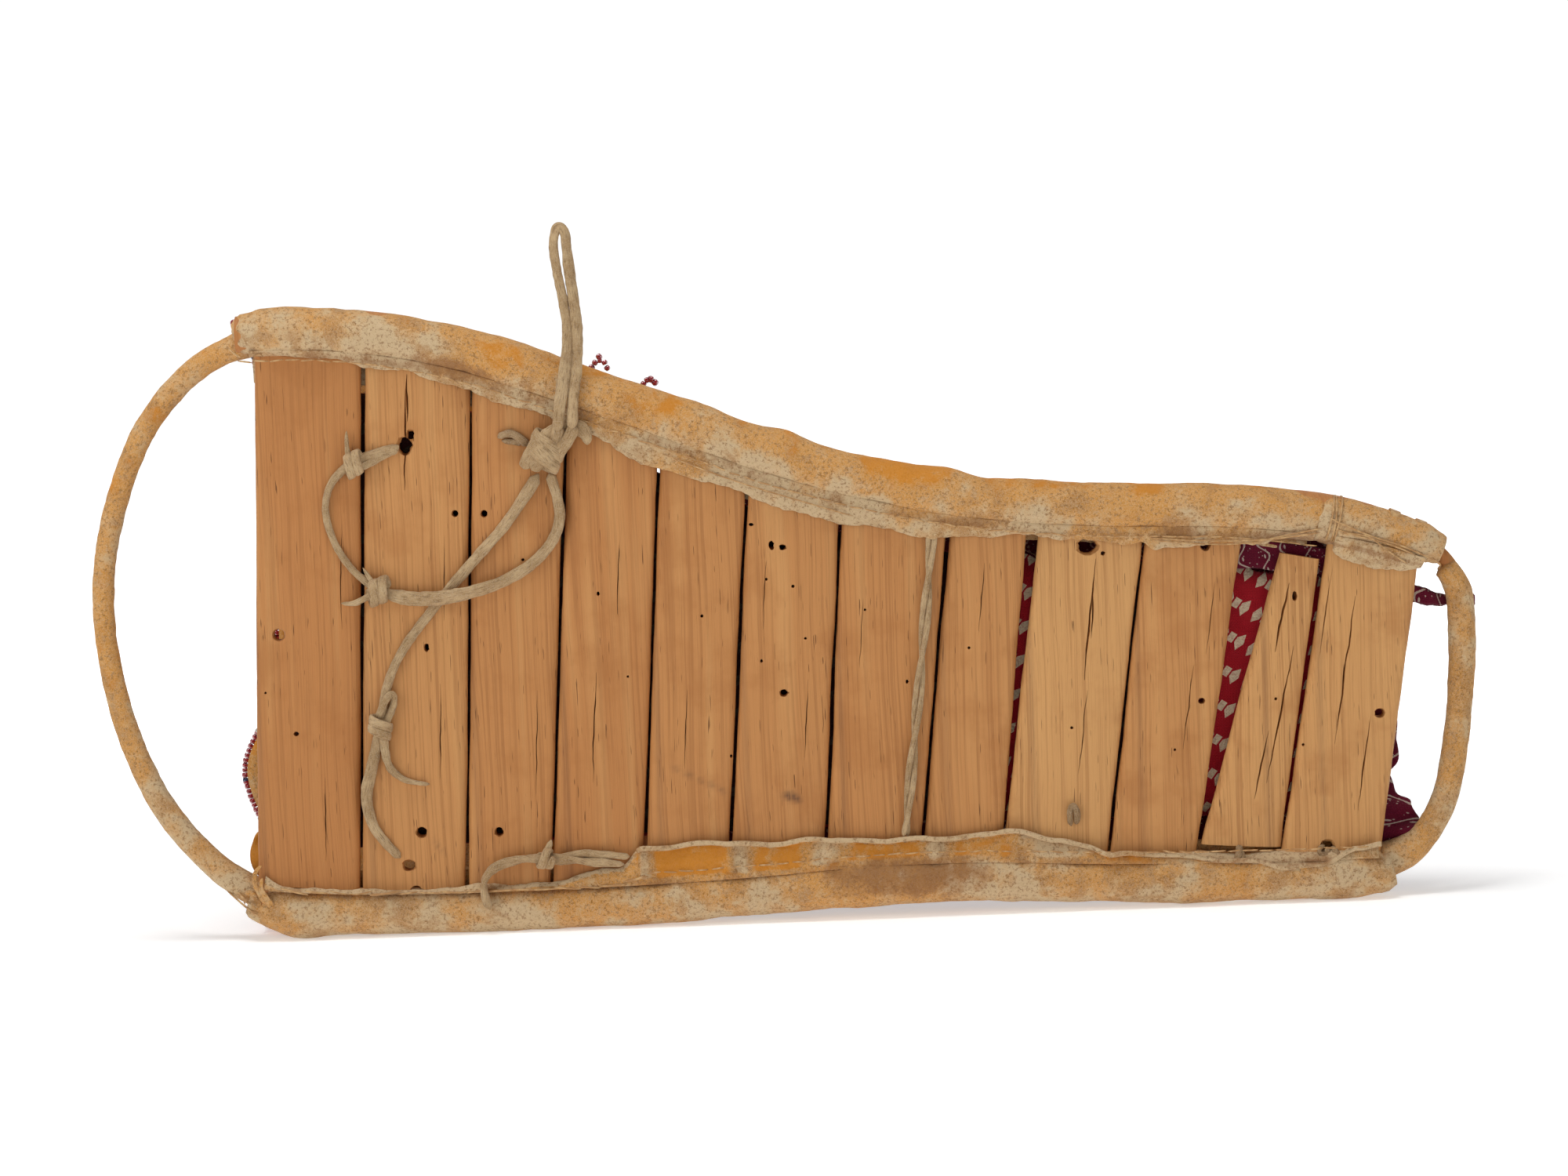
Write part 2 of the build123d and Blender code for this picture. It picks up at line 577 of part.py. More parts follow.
def build():
    far = RAIL_SPAN
    upper_rail_cover, upper_foot_cover = upper_covers()
    thongs = {name: tube(smooth_path(name, points), radius) for name, points, radius in (
        ("long_thong", LONG_THONG, THONG_R), ("slack_thong", SLACK_THONG, THONG_R),
        ("lower_thong", LOWER_THONG, THIN_THONG_R))}
    lower_flap, upper_flap, foot_pouch = bag()
    head_keep = cut_box(-far, HEAD_SLEEVE_END, -far, far, -far, far)
    foot_keep = cut_box(FOOT_SLEEVE_END, far, -far, far, -far, FOOT_SLEEVE_TOP)
    upper_laps = [(HEAD_X, HEAD_X + UPPER_LAP), (FOOT_X - LAP, FOOT_X)]
    lower_laps = [(HEAD_X, HEAD_X + LAP), (LOWER_END_X - LAP - 2, LOWER_END_X)]
    nodes = {
        "upper_pole": pole(upper_path, HEAD_X + 1, FOOT_X - 2, upper_laps),
        "lower_pole": pole(lower_path, HEAD_X + 1, LOWER_END_X - 2, lower_laps),
        "head_bow": tube(head_path, ROD_R),
        "foot_bow": tube(foot_path, ROD_R),
        "upper_rail_cover": upper_rail_cover,
        "upper_foot_cover": upper_foot_cover,
        "lower_rail_cover": lower_cover(),
        "head_bow_sleeve": sleeve(head_path, HEAD_SLEEVE_R, head_keep),
        "foot_bow_sleeve": sleeve(foot_path, FOOT_SLEEVE_R, foot_keep),
        "bow_lashings": lashings(),
        "upper_seam_sinew": seam(upper_path, -1, SEAM_X[0], SEAM_X[2]),
        "lower_seam_sinew": seam(lower_path, 1, SEAM_X[1], SEAM_X[2]),
        "corner_tie": open_rings(upper_path, -1, CORNER_RINGS, CORNER_RING_WIDTH),
        "head_tie": open_rings(lower_path, 1, (HEAD_X + 4,), HEAD_TIE_WIDTH),
        "slat_pin": pivot_pin(),
        "slat_ties": slat_ties(),
        "hang_loop": hang_loop(),
        "hang_knot": hang_knot(),
        "cross_cord_left": cross_strand(-1),
        "cross_cord_right": cross_strand(1),
        "thong_knots": thong_knots(*thongs.values()),
        "bed_pad": bed_pad(),
        "lower_flap": lower_flap,
        "upper_flap": upper_flap,
        "foot_pouch": foot_pouch,
        "flap_lacing": flap_lacing(),
        "foot_tie": foot_tie(),
        "hood_rear_bow": hood_bow(HOOD_BOW_X[0]),
        "hood_front_bow": hood_bow(HOOD_BOW_X[1]),
        "hood_cover": hood_cover(),
        "bead_edging": bead_edging(),
        **thongs,
        **{f"slat_{n:02d}": slat(n) for n in range(1, len(SLATS) + 1)},
    }
    return placed(nodes)


def main():
    os.makedirs("parts", exist_ok=True)
    for name, shape in build().items():
        export_step(shape, f"parts/{name}.step")
        print(name, len(shape.solids()), "solids")
    for name, radii in radii_of.items():
        print(name, "radii", [round(r, 1) for r in radii])


main()
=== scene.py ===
# %% [markdown]
# # A hide-covered cradleboard of toy size
# A cradleboard is a flat frame that a baby is laced to. This small one has two side poles in tubes of tanned
# hide, a bent rod at each end, twelve thin slats, thongs of hide, a calico bag and a hide hood on two bows.
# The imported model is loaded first, because every piece below goes where the model says.

# %% Load the frame
import bisect
import math
import bpy
from mathutils import Matrix, Vector, noise


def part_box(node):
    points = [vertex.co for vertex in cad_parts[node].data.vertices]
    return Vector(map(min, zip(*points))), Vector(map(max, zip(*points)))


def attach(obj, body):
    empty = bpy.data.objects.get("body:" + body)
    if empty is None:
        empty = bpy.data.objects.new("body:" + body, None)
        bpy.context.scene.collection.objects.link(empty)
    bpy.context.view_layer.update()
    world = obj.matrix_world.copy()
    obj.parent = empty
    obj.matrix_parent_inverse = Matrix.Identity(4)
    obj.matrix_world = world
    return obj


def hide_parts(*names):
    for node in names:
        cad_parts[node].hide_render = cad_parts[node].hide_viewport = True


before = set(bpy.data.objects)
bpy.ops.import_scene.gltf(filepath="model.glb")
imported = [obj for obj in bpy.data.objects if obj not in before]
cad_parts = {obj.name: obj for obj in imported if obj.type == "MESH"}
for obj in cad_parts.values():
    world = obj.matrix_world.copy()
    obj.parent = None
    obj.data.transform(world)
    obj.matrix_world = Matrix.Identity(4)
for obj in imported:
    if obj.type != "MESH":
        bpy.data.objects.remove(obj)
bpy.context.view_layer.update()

# %% [markdown]
# ## A maker's ruler
# The board was drawn in millimetres from the middle of its poles, so the lists below are in millimetres too.
# `at` turns such a place into the frame's metres. Its shift comes from the boxes of three nodes.

# %% The ruler
MM = 0.001
HOOD_EDGE_X = -205.0
SHIFT = Vector((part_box("hood_cover")[0][0] - HOOD_EDGE_X * MM,
                (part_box("upper_rail_cover")[0][1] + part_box("upper_rail_cover")[1][1]) / 2,
                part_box("lower_rail_cover")[0][2]))


def at(x, y, z):
    """A place in the drawing's millimetres, in the frame's metres."""
    return Vector((x, y, z)) * MM + SHIFT


def drawn(point):
    """The other way round: a point of the frame in the drawing's millimetres."""
    return (Vector(point) - SHIFT) / MM


print("shift", [round(v, 5) for v in SHIFT])

# %% [markdown]
# ## Camera, floor and light
# The board stands on the long edge of its lower rail. The camera looks square at the slats from a little
# above, with a long lens and a slight roll. A white floor and wide soft lights give one soft shadow.

# %% Camera
LOOK_AT = at(0.6, -10, 127.9)
CAMERA_RISE = math.radians(4.0)
CAMERA_ROLL = math.radians(2.2)
CAMERA_DISTANCE = 1.482
LENS = 90

back = Vector((0, -math.cos(CAMERA_RISE), math.sin(CAMERA_RISE)))
flat_right = Vector((1, 0, 0))
flat_up = back.cross(flat_right)
right = flat_right * math.cos(CAMERA_ROLL) - flat_up * math.sin(CAMERA_ROLL)
up = flat_up * math.cos(CAMERA_ROLL) + flat_right * math.sin(CAMERA_ROLL)
camera = bpy.data.objects.new("camera", bpy.data.cameras.new("camera"))
camera.data.lens = LENS
camera.data.sensor_width = 36
camera.data.clip_start = 0.05
camera_turn = Matrix((right, up, back)).transposed().to_4x4()
camera.matrix_world = Matrix.Translation(LOOK_AT + back * CAMERA_DISTANCE) @ camera_turn
bpy.context.collection.objects.link(camera)
bpy.context.scene.camera = camera
bpy.context.scene.view_settings.view_transform = "Standard"
print("camera at", [round(v, 3) for v in camera.matrix_world.translation])

# %% Node helpers
def put(tree, kind, settings=None, **inputs):
    """Adds a node to a tree. An input is a value, or another node's socket to link from."""
    node = tree.nodes.new(kind)
    for key, value in (settings or {}).items():
        setattr(node, key, value)
    for key, value in inputs.items():
        socket = node.inputs[int(key[1:])] if key[1:].isdigit() else node.inputs[key.replace("_", " ")]
        if isinstance(value, bpy.types.NodeSocket):
            tree.links.new(value, socket)
        else:
            socket.default_value = value
    return node


def calc(tree, operation, a, b=0.0, c=None):
    """One sum on numbers, by its name in a Math node."""
    inputs = {"i0": a, "i1": b} if c is None else {"i0": a, "i1": b, "i2": c}
    return put(tree, "ShaderNodeMath", {"operation": operation}, **inputs).outputs[0]


def times(tree, a, b):
    return calc(tree, "MULTIPLY", a, b)


def minus(tree, a, b):
    return calc(tree, "SUBTRACT", a, b)


def span(tree, value, low, high, to_low=0.0, to_high=1.0):
    """Stretches a value's range from low..high to another, and clamps it."""
    return put(tree, "ShaderNodeMapRange", {"interpolation_type": "SMOOTHSTEP"}, Value=value, From_Min=low,
               From_Max=high, To_Min=to_low, To_Max=to_high).outputs[0]


def mix(tree, share, a, b, how="MIX"):
    """Mixes two colours."""
    node = put(tree, "ShaderNodeMix", {"data_type": "RGBA", "blend_type": how}, i0=share, i6=a, i7=b)
    return node.outputs[2]


def speckle(tree, place, scale, detail=3.0, rough=0.5):
    """Cloudy noise at a place."""
    return put(tree, "ShaderNodeTexNoise", Vector=place, Scale=scale, Detail=detail, Roughness=rough).outputs[0]


def stretched(tree, place, scale, move=(0.0, 0.0, 0.0), turn=(0.0, 0.0, 0.0)):
    return put(tree, "ShaderNodeMapping", Vector=place, Scale=scale, Location=move, Rotation=turn).outputs[0]


def shader_group(name, inputs, outputs):
    """An empty group with its named sockets. Colours are 4 numbers, vectors 3 and the rest single numbers."""
    tree = bpy.data.node_groups.new(name, "ShaderNodeTree")
    kinds = {4: "NodeSocketColor", 3: "NodeSocketVector", 1: "NodeSocketFloat"}
    for label, value in inputs.items():
        size = len(value) if hasattr(value, "__len__") else 1
        socket = tree.interface.new_socket(label, in_out="INPUT", socket_type=kinds[size])
        socket.default_value = value
    for label, size in outputs.items():
        tree.interface.new_socket(label, in_out="OUTPUT", socket_type=kinds[size])
    return tree, tree.nodes.new("NodeGroupInput").outputs, tree.nodes.new("NodeGroupOutput").inputs


def use(tree, group, **inputs):
    return put(tree, "ShaderNodeGroup", {"node_tree": group}, **inputs).outputs


def new_material(name, **uniform):
    """A material with its Principled shader. Values that are the same all over are set on the shader itself."""
    material = bpy.data.materials.new(name)
    material.use_nodes = True
    shader = material.node_tree.nodes["Principled BSDF"]
    for key, value in uniform.items():
        shader.inputs[key.replace("_", " ")].default_value = value
    return material, material.node_tree, shader


def finish_material(tree, shader, colour, roughness, height, depth):
    """Links what changes over the surface, with a bump of a depth in metres."""
    tree.links.new(colour, shader.inputs["Base Color"])
    if isinstance(roughness, bpy.types.NodeSocket):
        tree.links.new(roughness, shader.inputs["Roughness"])
    else:
        shader.inputs["Roughness"].default_value = roughness
    bump = put(tree, "ShaderNodeBump", Strength=1.0, Distance=depth, Height=height)
    tree.links.new(bump.outputs[0], shader.inputs["Normal"])


def object_place(tree):
    return put(tree, "ShaderNodeTexCoord").outputs["Object"]


def uv_place(tree):
    return put(tree, "ShaderNodeTexCoord").outputs["UV"]


def painted(tree, name):
    """A number that was painted on the mesh's points."""
    return put(tree, "ShaderNodeAttribute", {"attribute_name": name}).outputs["Fac"]


print("node helpers ready")

# %% Floor and light
def soft_light(name, place, size, power):
    light = bpy.data.objects.new(name, bpy.data.lights.new(name, "AREA"))
    light.data.shape = "SQUARE"
    light.data.size = size
    light.data.energy = power
    light.location = place
    light.rotation_euler = (at(0, 0, 110) - Vector(place)).to_track_quat("-Z", "Y").to_euler()
    bpy.context.collection.objects.link(light)


soft_light("light_above", (-0.25, -0.3, 1.8), 0.8, 17)
soft_light("light_left", (-1.5, -1.3, 1.0), 0.8, 8)
soft_light("light_right", (1.7, -1.2, 0.8), 1.2, 2)
soft_light("light_behind", (0.5, 1.9, 1.0), 1.4, 6)

world = bpy.data.worlds.new("studio")
world.use_nodes = True
sky = world.node_tree
camera_ray = put(sky, "ShaderNodeLightPath").outputs["Is Camera Ray"]
sky.nodes["Background"].inputs["Color"].default_value = (1, 1, 1, 1)
sky.links.new(span(sky, camera_ray, 0.0, 1.0, 0.27, 1.05), sky.nodes["Background"].inputs["Strength"])
bpy.context.scene.world = world

FLOOR_HALF = 9.0
floor_mesh = bpy.data.meshes.new("floor")
floor_mesh.from_pydata([(x, y, 0.0) for x, y in ((-FLOOR_HALF, -FLOOR_HALF), (FLOOR_HALF, -FLOOR_HALF),
                                                 (FLOOR_HALF, FLOOR_HALF), (-FLOOR_HALF, FLOOR_HALF))],
                       [], [(0, 1, 2, 3)])
floor = bpy.data.objects.new("floor", floor_mesh)
bpy.context.collection.objects.link(floor)
floor_paint, floor_tree, floor_shader = new_material("floor_paint", Roughness=0.9)
far_off = put(floor_tree, "ShaderNodeVectorMath", {"operation": "LENGTH"},
              i0=object_place(floor_tree)).outputs["Value"]
floor_tree.links.new(span(floor_tree, far_off, 0.3, 1.1, 0.36, 0.95), floor_shader.inputs["Emission Strength"])
floor_shader.inputs["Base Color"].default_value = (0.9, 0.9, 0.9, 1)
floor_shader.inputs["Emission Color"].default_value = (1, 1, 1, 1)
floor_shader.inputs["Specular IOR Level"].default_value = 0.1
floor_mesh.materials.append(floor_paint)
print("floor and four lights")

# %% [markdown]
# ## Lines and skins
# Nearly every part of the board follows a line: poles, rods, hems, seams and thongs. A line is a smooth NURBS spline
# through a few given points. A skin is a closed mesh whose cross-section, a small function, is carried along the
# line. A hem is such a skin too, with a long flat cross-section beside the line.

# %% Lines
def smooth_line(points, fineness=12):
    """The points of a smooth spline that is drawn by a few control points."""
    curve = bpy.data.curves.new("route", "CURVE")
    curve.dimensions = "3D"
    curve.resolution_u = fineness
    spline = curve.splines.new("NURBS")
    spline.points.add(len(points) - 1)
    for knot, place in zip(spline.points, points):
        knot.co = (*place, 1.0)
    spline.order_u = 3
    spline.use_endpoint_u = True
    holder = bpy.data.objects.new("route", curve)
    mesh = bpy.data.meshes.new_from_object(holder)
    line = [vertex.co.copy() for vertex in mesh.vertices]
    bpy.data.objects.remove(holder)
    bpy.data.meshes.remove(mesh)
    return line


def drawn_line(places, fineness=12):
    """A smooth spline that is drawn by places in the drawing's millimetres."""
    return smooth_line([at(*p) for p in places], fineness)


def length_of(line):
    return sum((b - a).length for a, b in zip(line, line[1:]))


def even(line, step):
    """The same line with points a step apart."""
    total = length_of(line)
    count = max(2, round(total / step))
    result, travelled, index = [line[0].copy()], 0.0, 0
    for i in range(1, count):
        target = total * i / count
        while travelled + (line[index + 1] - line[index]).length < target:
            travelled += (line[index + 1] - line[index]).length
            index += 1
        run = line[index + 1] - line[index]
        result.append(line[index] + run * ((target - travelled) / run.length))
    return result + [line[-1].copy()]


def part_of(line, x0, x1):
    """The stretch of a line between two places along the board, in millimetres."""
    return [p for p in line if x0 <= drawn(p).x <= x1]


def height_of(line):
    """Makes a function that gives a rail's drawn height at a place along the board."""
    places = [drawn(p) for p in line]
    across = [p.x for p in places]

    def height(x):
        i = min(max(bisect.bisect(across, x), 1), len(places) - 1)
        a, b = places[i - 1], places[i]
        return a.z + (b.z - a.z) * min(1.0, max(0.0, (x - a.x) / (b.x - a.x)))
    return height


def easing(x, *pairs):
    """A value that passes smoothly through (place, value) pairs."""
    if x <= pairs[0][0]:
        return pairs[0][1]
    for (xa, va), (xb, vb) in zip(pairs, pairs[1:]):
        if x <= xb:
            t = (x - xa) / (xb - xa)
            return va + (vb - va) * t * t * (3 - 2 * t)
    return pairs[-1][1]


def steps(start, run, count):
    """Even steps over a run, from its start to its end."""
    return [start + run * i / count for i in range(count + 1)]


def round_angles(count):
    """Even angles once round."""
    return [2 * math.pi * j / count for j in range(count)]


def bump_at(x, centre, width):
    return math.exp(-((x - centre) / width) ** 2)


def lump(x, y, z, size, seed=0.0):
    """Smooth random lumps of a size in millimetres, from about -1 to 1."""
    return noise.noise(Vector((x / size + seed * 7.3, y / size - seed * 3.1, z / size + seed * 1.7)))


RAIL_FINE = 1.5 * MM
upper_line = even(smooth_line([at(x, 0, z) for x, z in (
    (-204, 231.3), (-150, 233.5), (-52, 197.5), (10, 172), (90, 153.5), (208, 150.5), (254, 131))], 40), RAIL_FINE)
lower_line = even(smooth_line([at(x, 0, z) for x, z in (
    (-204, 14.3), (-176, 10), (-40, 10), (50, 15.8), (143, 10), (226, 10))], 40), RAIL_FINE)
head_line = even(smooth_line([at(x, 4.9, z) for x, z in (
    (-166, 232.9), (-203, 231.3), (-238, 205), (-257.5, 158), (-260.5, 113), (-247.5, 62), (-224, 29),
    (-200, 13.6), (-172, 10.1))], 40), RAIL_FINE)
foot_line = even(smooth_line([at(x, 4.9, z) for x, z in (
    (192, 10), (230, 10), (250, 30), (256.5, 62), (259.5, 96), (257.5, 129.5), (226, 142.9))], 40), RAIL_FINE)
upper_height, lower_height = height_of(upper_line), height_of(lower_line)
print("upper rail", round(length_of(upper_line), 3), "m, lower rail", round(length_of(lower_line), 3), "m")

# %% Skins
def link_piece(name, mesh):
    piece = bpy.data.objects.new(name, mesh)
    bpy.context.collection.objects.link(piece)
    return piece


def surface(name, rows, around=False, capped=False):
    """A mesh from rows of points, with a UV map in metres. around joins each row's ends, capped closes it."""
    wide = len(rows[0])
    columns = wide if around else wide - 1
    points = [p for row in rows for p in row]
    faces, places = [], []
    along = [0.0]
    for a, b in zip(rows, rows[1:]):
        along.append(along[-1] + (b[0] - a[0]).length)
    middle = rows[len(rows) // 2]
    aside = [0.0]
    for j in range(columns):
        aside.append(aside[-1] + (middle[(j + 1) % wide] - middle[j]).length)
    for i in range(len(rows) - 1):
        for j in range(columns):
            k = (j + 1) % wide
            faces.append((i * wide + j, i * wide + k, (i + 1) * wide + k, (i + 1) * wide + j))
            places.append(((aside[j], along[i]), (aside[j + 1], along[i]), (aside[j + 1], along[i + 1]),
                           (aside[j], along[i + 1])))
    if capped:
        for first, order in ((0, -1), ((len(rows) - 1) * wide, 1)):
            ring = rows[0] if first == 0 else rows[-1]
            points.append(sum(ring, Vector()) / wide)
            for j in range(wide):
                a, b = first + j, first + (j + 1) % wide
                faces.append((a, b, len(points) - 1) if order > 0 else (b, a, len(points) - 1))
                places.append(((aside[j], 0.0),) * 3)
    mesh = bpy.data.meshes.new(name)
    mesh.from_pydata(points, [], faces)
    layer = mesh.uv_layers.new(name="UVMap")
    layer.data.foreach_set("uv", [v for face in places for place in face for v in place])
    mesh.polygons.foreach_set("use_smooth", [True] * len(faces))
    mesh.update()
    return link_piece(name, mesh)


def skin(name, line, shape, sides=20, facing=Vector((0, -1, 0)), twist=None):
    """Carries a cross-section along a line. shape(s, a, place) gives the offset in millimetres towards facing
    and across it, for the distance s in millimetres, the angle a and the line's place in the drawing."""
    rows, travelled, total = [], 0.0, len(line)
    for i, point in enumerate(line):
        if i:
            travelled += (point - line[i - 1]).length
        tangent = (line[min(i + 1, total - 1)] - line[max(i - 1, 0)]).normalized()
        wanted = facing[i] if isinstance(facing, list) else facing
        side = (wanted - tangent * wanted.dot(tangent)).normalized()
        if twist:
            side = Matrix.Rotation(twist(travelled / MM), 3, tangent) @ side
        other = tangent.cross(side)
        place = drawn(point)
        row = []
        for a in round_angles(sides):
            toward, across = shape(travelled / MM, a, place)
            row.append(point + side * (toward * MM) + other * (across * MM))
        rows.append(row)
    return surface(name, rows, around=True, capped=True)


def join(name, *pieces):
    """Makes one piece of several."""
    points, faces, places, shift = [], [], [], 0
    for piece in pieces:
        mesh = piece.data
        points += [v.co.copy() for v in mesh.vertices]
        faces += [[i + shift for i in face.vertices] for face in mesh.polygons]
        layer = mesh.uv_layers.active
        places += [tuple(layer.uv[i].vector) if layer else (0.0, 0.0) for i in range(len(mesh.loops))]
        shift = len(points)
        bpy.data.objects.remove(piece)
    mesh = bpy.data.meshes.new(name)
    mesh.from_pydata(points, [], faces)
    mesh.uv_layers.new(name="UVMap").data.foreach_set("uv", [v for place in places for v in place])
    mesh.polygons.foreach_set("use_smooth", [True] * len(faces))
    return link_piece(name, mesh)


def paint(piece, name, how):
    """Paints a number on each point of a mesh, from its place in the drawing."""
    layer = piece.data.attributes.new(name, "FLOAT", "POINT")
    layer.data.foreach_set("value", [max(0.0, min(1.0, how(drawn(v.co)))) for v in piece.data.vertices])


def ready(piece, body, slot, material, *nodes):
    """Gives a piece its material and its body, and hides the nodes that it stands for. Its slot is not used."""
    piece.data.materials.clear()
    piece.data.materials.append(material)
    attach(piece, body)
    if nodes:
        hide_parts(*nodes)
    return piece


print("skins ready")

# %% [markdown]
# ## Hide, wood, sinew and calico
# The finishes are mixed by nodes. What several of them share is a node group: mottled brain-tanned hide, straight
# wood grain and the plain weave of calico. Each material places a group with its own values.

# %% The hide group
hide_group, give, take = shader_group(
    "mottled_hide",
    {"Place": (0.0, 0.0, 0.0), "Ochre": 0.5, "Stain": 0.0, "Ochre Colour": (0.58, 0.275, 0.065, 1),
     "Bare Colour": (0.56, 0.405, 0.23, 1), "Stain Colour": (0.27, 0.125, 0.05, 1)},
    {"Colour": 4, "Roughness": 1, "Height": 1})
t = hide_group
clouds = speckle(t, give["Place"], 48.0, 5.0, 0.6)
patches = speckle(t, give["Place"], 190.0, 5.0, 0.65)
smears = speckle(t, give["Place"], 95.0, 6.0, 0.7)
grains = speckle(t, give["Place"], 780.0, 5.0, 0.75)
nap = speckle(t, give["Place"], 2100.0, 3.0, 0.7)
pull = calc(t, "MULTIPLY_ADD", patches, 0.9, calc(t, "MULTIPLY_ADD", clouds, 1.5, give["Ochre"]))
pull = calc(t, "MULTIPLY_ADD", grains, 0.35, pull)
skin_colour = mix(t, span(t, pull, 1.56, 2.02), give["Bare Colour"], give["Ochre Colour"])
skin_colour = mix(t, span(t, patches, 0.53, 0.66, 0.0, 0.35), skin_colour, (0.68, 0.53, 0.34, 1))
skin_colour = mix(t, span(t, smears, 0.48, 0.64, 0.0, 0.62), skin_colour, (0.33, 0.16, 0.05, 1))
skin_colour = mix(t, span(t, grains, 0.52, 0.6, 0.0, 0.7), skin_colour, (0.22, 0.10, 0.03, 1))
skin_colour = mix(t, span(t, nap, 0.42, 0.62, 0.0, 0.3), skin_colour, (0.70, 0.54, 0.35, 1))
skin_colour = mix(t, span(t, pull, 2.15, 2.45, 0.0, 0.8), skin_colour, (0.60, 0.22, 0.016, 1))
# The stain input darkens towards the stain colour: real stains, and painted shade in the creases where a tube turns
# into its hem.
edge_of_stain_and_shade = calc(t, "MULTIPLY_ADD", smears, 1.3, minus(t, give["Stain"], 0.95))
edge_of_stain_and_shade = calc(t, "MULTIPLY_ADD", grains, 0.5, edge_of_stain_and_shade)
stain_and_shade_share = span(t, edge_of_stain_and_shade, 0.25, 0.85, 0.0, 0.7)
t.links.new(mix(t, stain_and_shade_share, skin_colour, give["Stain Colour"]), take["Colour"])
t.links.new(span(t, grains, 0.3, 0.8, 0.78, 0.95), take["Roughness"])
t.links.new(calc(t, "MULTIPLY_ADD", nap, 0.35, times(t, grains, 0.65)), take["Height"])
print("mottled_hide", len(t.nodes), "nodes")

# %% The wood group
wood_group, give, take = shader_group(
    "straight_grain",
    {"Place": (0.0, 0.0, 0.0), "Seed": 0.0, "Pale": 0.5, "Red": 0.0, "Grime": 0.0},
    {"Colour": 4, "Roughness": 1, "Height": 1})
t = wood_group
shifted = put(t, "ShaderNodeVectorMath", {"operation": "ADD"}, i0=give["Place"],
              i1=put(t, "ShaderNodeCombineXYZ", X=give["Seed"], Y=give["Seed"], Z=0.0).outputs[0]).outputs[0]
wander = speckle(t, stretched(t, shifted, (25.0, 25.0, 9.0)), 1.0, 2.0)
aside = put(t, "ShaderNodeCombineXYZ", X=times(t, wander, 0.006), Y=0.0, Z=0.0).outputs[0]
bent = put(t, "ShaderNodeVectorMath", {"operation": "ADD"}, i0=shifted, i1=aside).outputs[0]
rings = speckle(t, stretched(t, bent, (820.0, 260.0, 5.0)), 1.0, 4.0, 0.65)
fibres = speckle(t, stretched(t, bent, (2600.0, 1500.0, 38.0)), 1.0, 3.0, 0.7)
streaks = speckle(t, stretched(t, bent, (120.0, 60.0, 6.0)), 1.0, 2.0)
blotches = speckle(t, shifted, 34.0, 4.0, 0.6)
cracks = speckle(t, stretched(t, bent, (2300.0, 500.0, 90.0), (3.1, 0.0, 1.7)), 1.0, 1.0)
tan = mix(t, give["Red"], (0.53, 0.225, 0.07, 1), (0.43, 0.155, 0.043, 1))
tan = mix(t, give["Pale"], tan, (0.63, 0.335, 0.125, 1))
board = mix(t, span(t, rings, 0.46, 0.62, 0.0, 0.48), tan, (0.33, 0.13, 0.038, 1))
board = mix(t, span(t, streaks, 0.5, 0.72, 0.0, 0.4), board, (0.68, 0.37, 0.14, 1))
board = mix(t, span(t, fibres, 0.52, 0.78, 0.0, 0.45), board, (0.30, 0.125, 0.042, 1))
board = mix(t, span(t, blotches, 0.48, 0.68, 0.0, 0.4), board, (0.38, 0.145, 0.04, 1))
board = mix(t, span(t, cracks, 0.735, 0.77, 0.0, 0.8), board, (0.11, 0.04, 0.016, 1))
# The grime input darkens the wood: real smudges, and painted shade along each slat's left edge.
smudge_and_edge_shade = times(t, give["Grime"], span(t, fibres, 0.3, 0.6, 0.5, 1.0))
board = mix(t, times(t, smudge_and_edge_shade, 0.8), board, (0.10, 0.052, 0.035, 1))
t.links.new(board, take["Colour"])
t.links.new(span(t, rings, 0.3, 0.7, 0.62, 0.48), take["Roughness"])
relief = calc(t, "MULTIPLY_ADD", fibres, -0.45, times(t, rings, -0.55))
t.links.new(calc(t, "MULTIPLY_ADD", span(t, cracks, 0.72, 0.77), -1.2, relief), take["Height"])
print("straight_grain", len(t.nodes), "nodes")

# %% The weave group
weave_group, give, take = shader_group(
    "plain_weave", {"Place": (0.0, 0.0, 0.0), "Threads Per Metre": 1700.0}, {"Height": 1, "Shade": 1})
t = weave_group
ways = put(t, "ShaderNodeSeparateXYZ", Vector=give["Place"]).outputs
turns = times(t, give["Threads Per Metre"], math.pi)
warp = calc(t, "SINE", times(t, ways[0], turns))
weft = calc(t, "SINE", times(t, ways[1], turns))
over = calc(t, "MULTIPLY_ADD", times(t, warp, weft), 0.5, 0.5)
gaps = times(t, calc(t, "ABSOLUTE", warp), calc(t, "ABSOLUTE", weft))
slub = speckle(t, stretched(t, give["Place"], (300.0, 1900.0, 1.0)), 1.0, 2.0)
t.links.new(calc(t, "MULTIPLY_ADD", gaps, 0.8, times(t, over, 0.4)), take["Height"])
t.links.new(calc(t, "MULTIPLY_ADD", slub, 0.35, calc(t, "MULTIPLY_ADD", gaps, 0.35, 0.45)), take["Shade"])
print("plain_weave", len(t.nodes), "nodes")

# %% Hide, thong and sinew materials
def hide_material(name, ochre):
    """Suede hide that reads two painted numbers: where it is ochre, and how dark it is, from real stains and from
    painted shade in creases.
    """
    material, tree, shader = new_material(name, Sheen_Weight=0.05, Sheen_Roughness=0.6, Specular_IOR_Level=0.12)
    amount = calc(tree, "MULTIPLY_ADD", painted(tree, "ochre"), 1.0, ochre)
    out = use(tree, hide_group, Place=object_place(tree), Ochre=amount, Stain=painted(tree, "stain"))
    finish_material(tree, shader, out["Colour"], out["Roughness"], out["Height"], 0.00035)
    return material


ochre_hide = hide_material("ochre_hide", 0.05)
hood_hide = hide_material("hood_hide", 0.3)


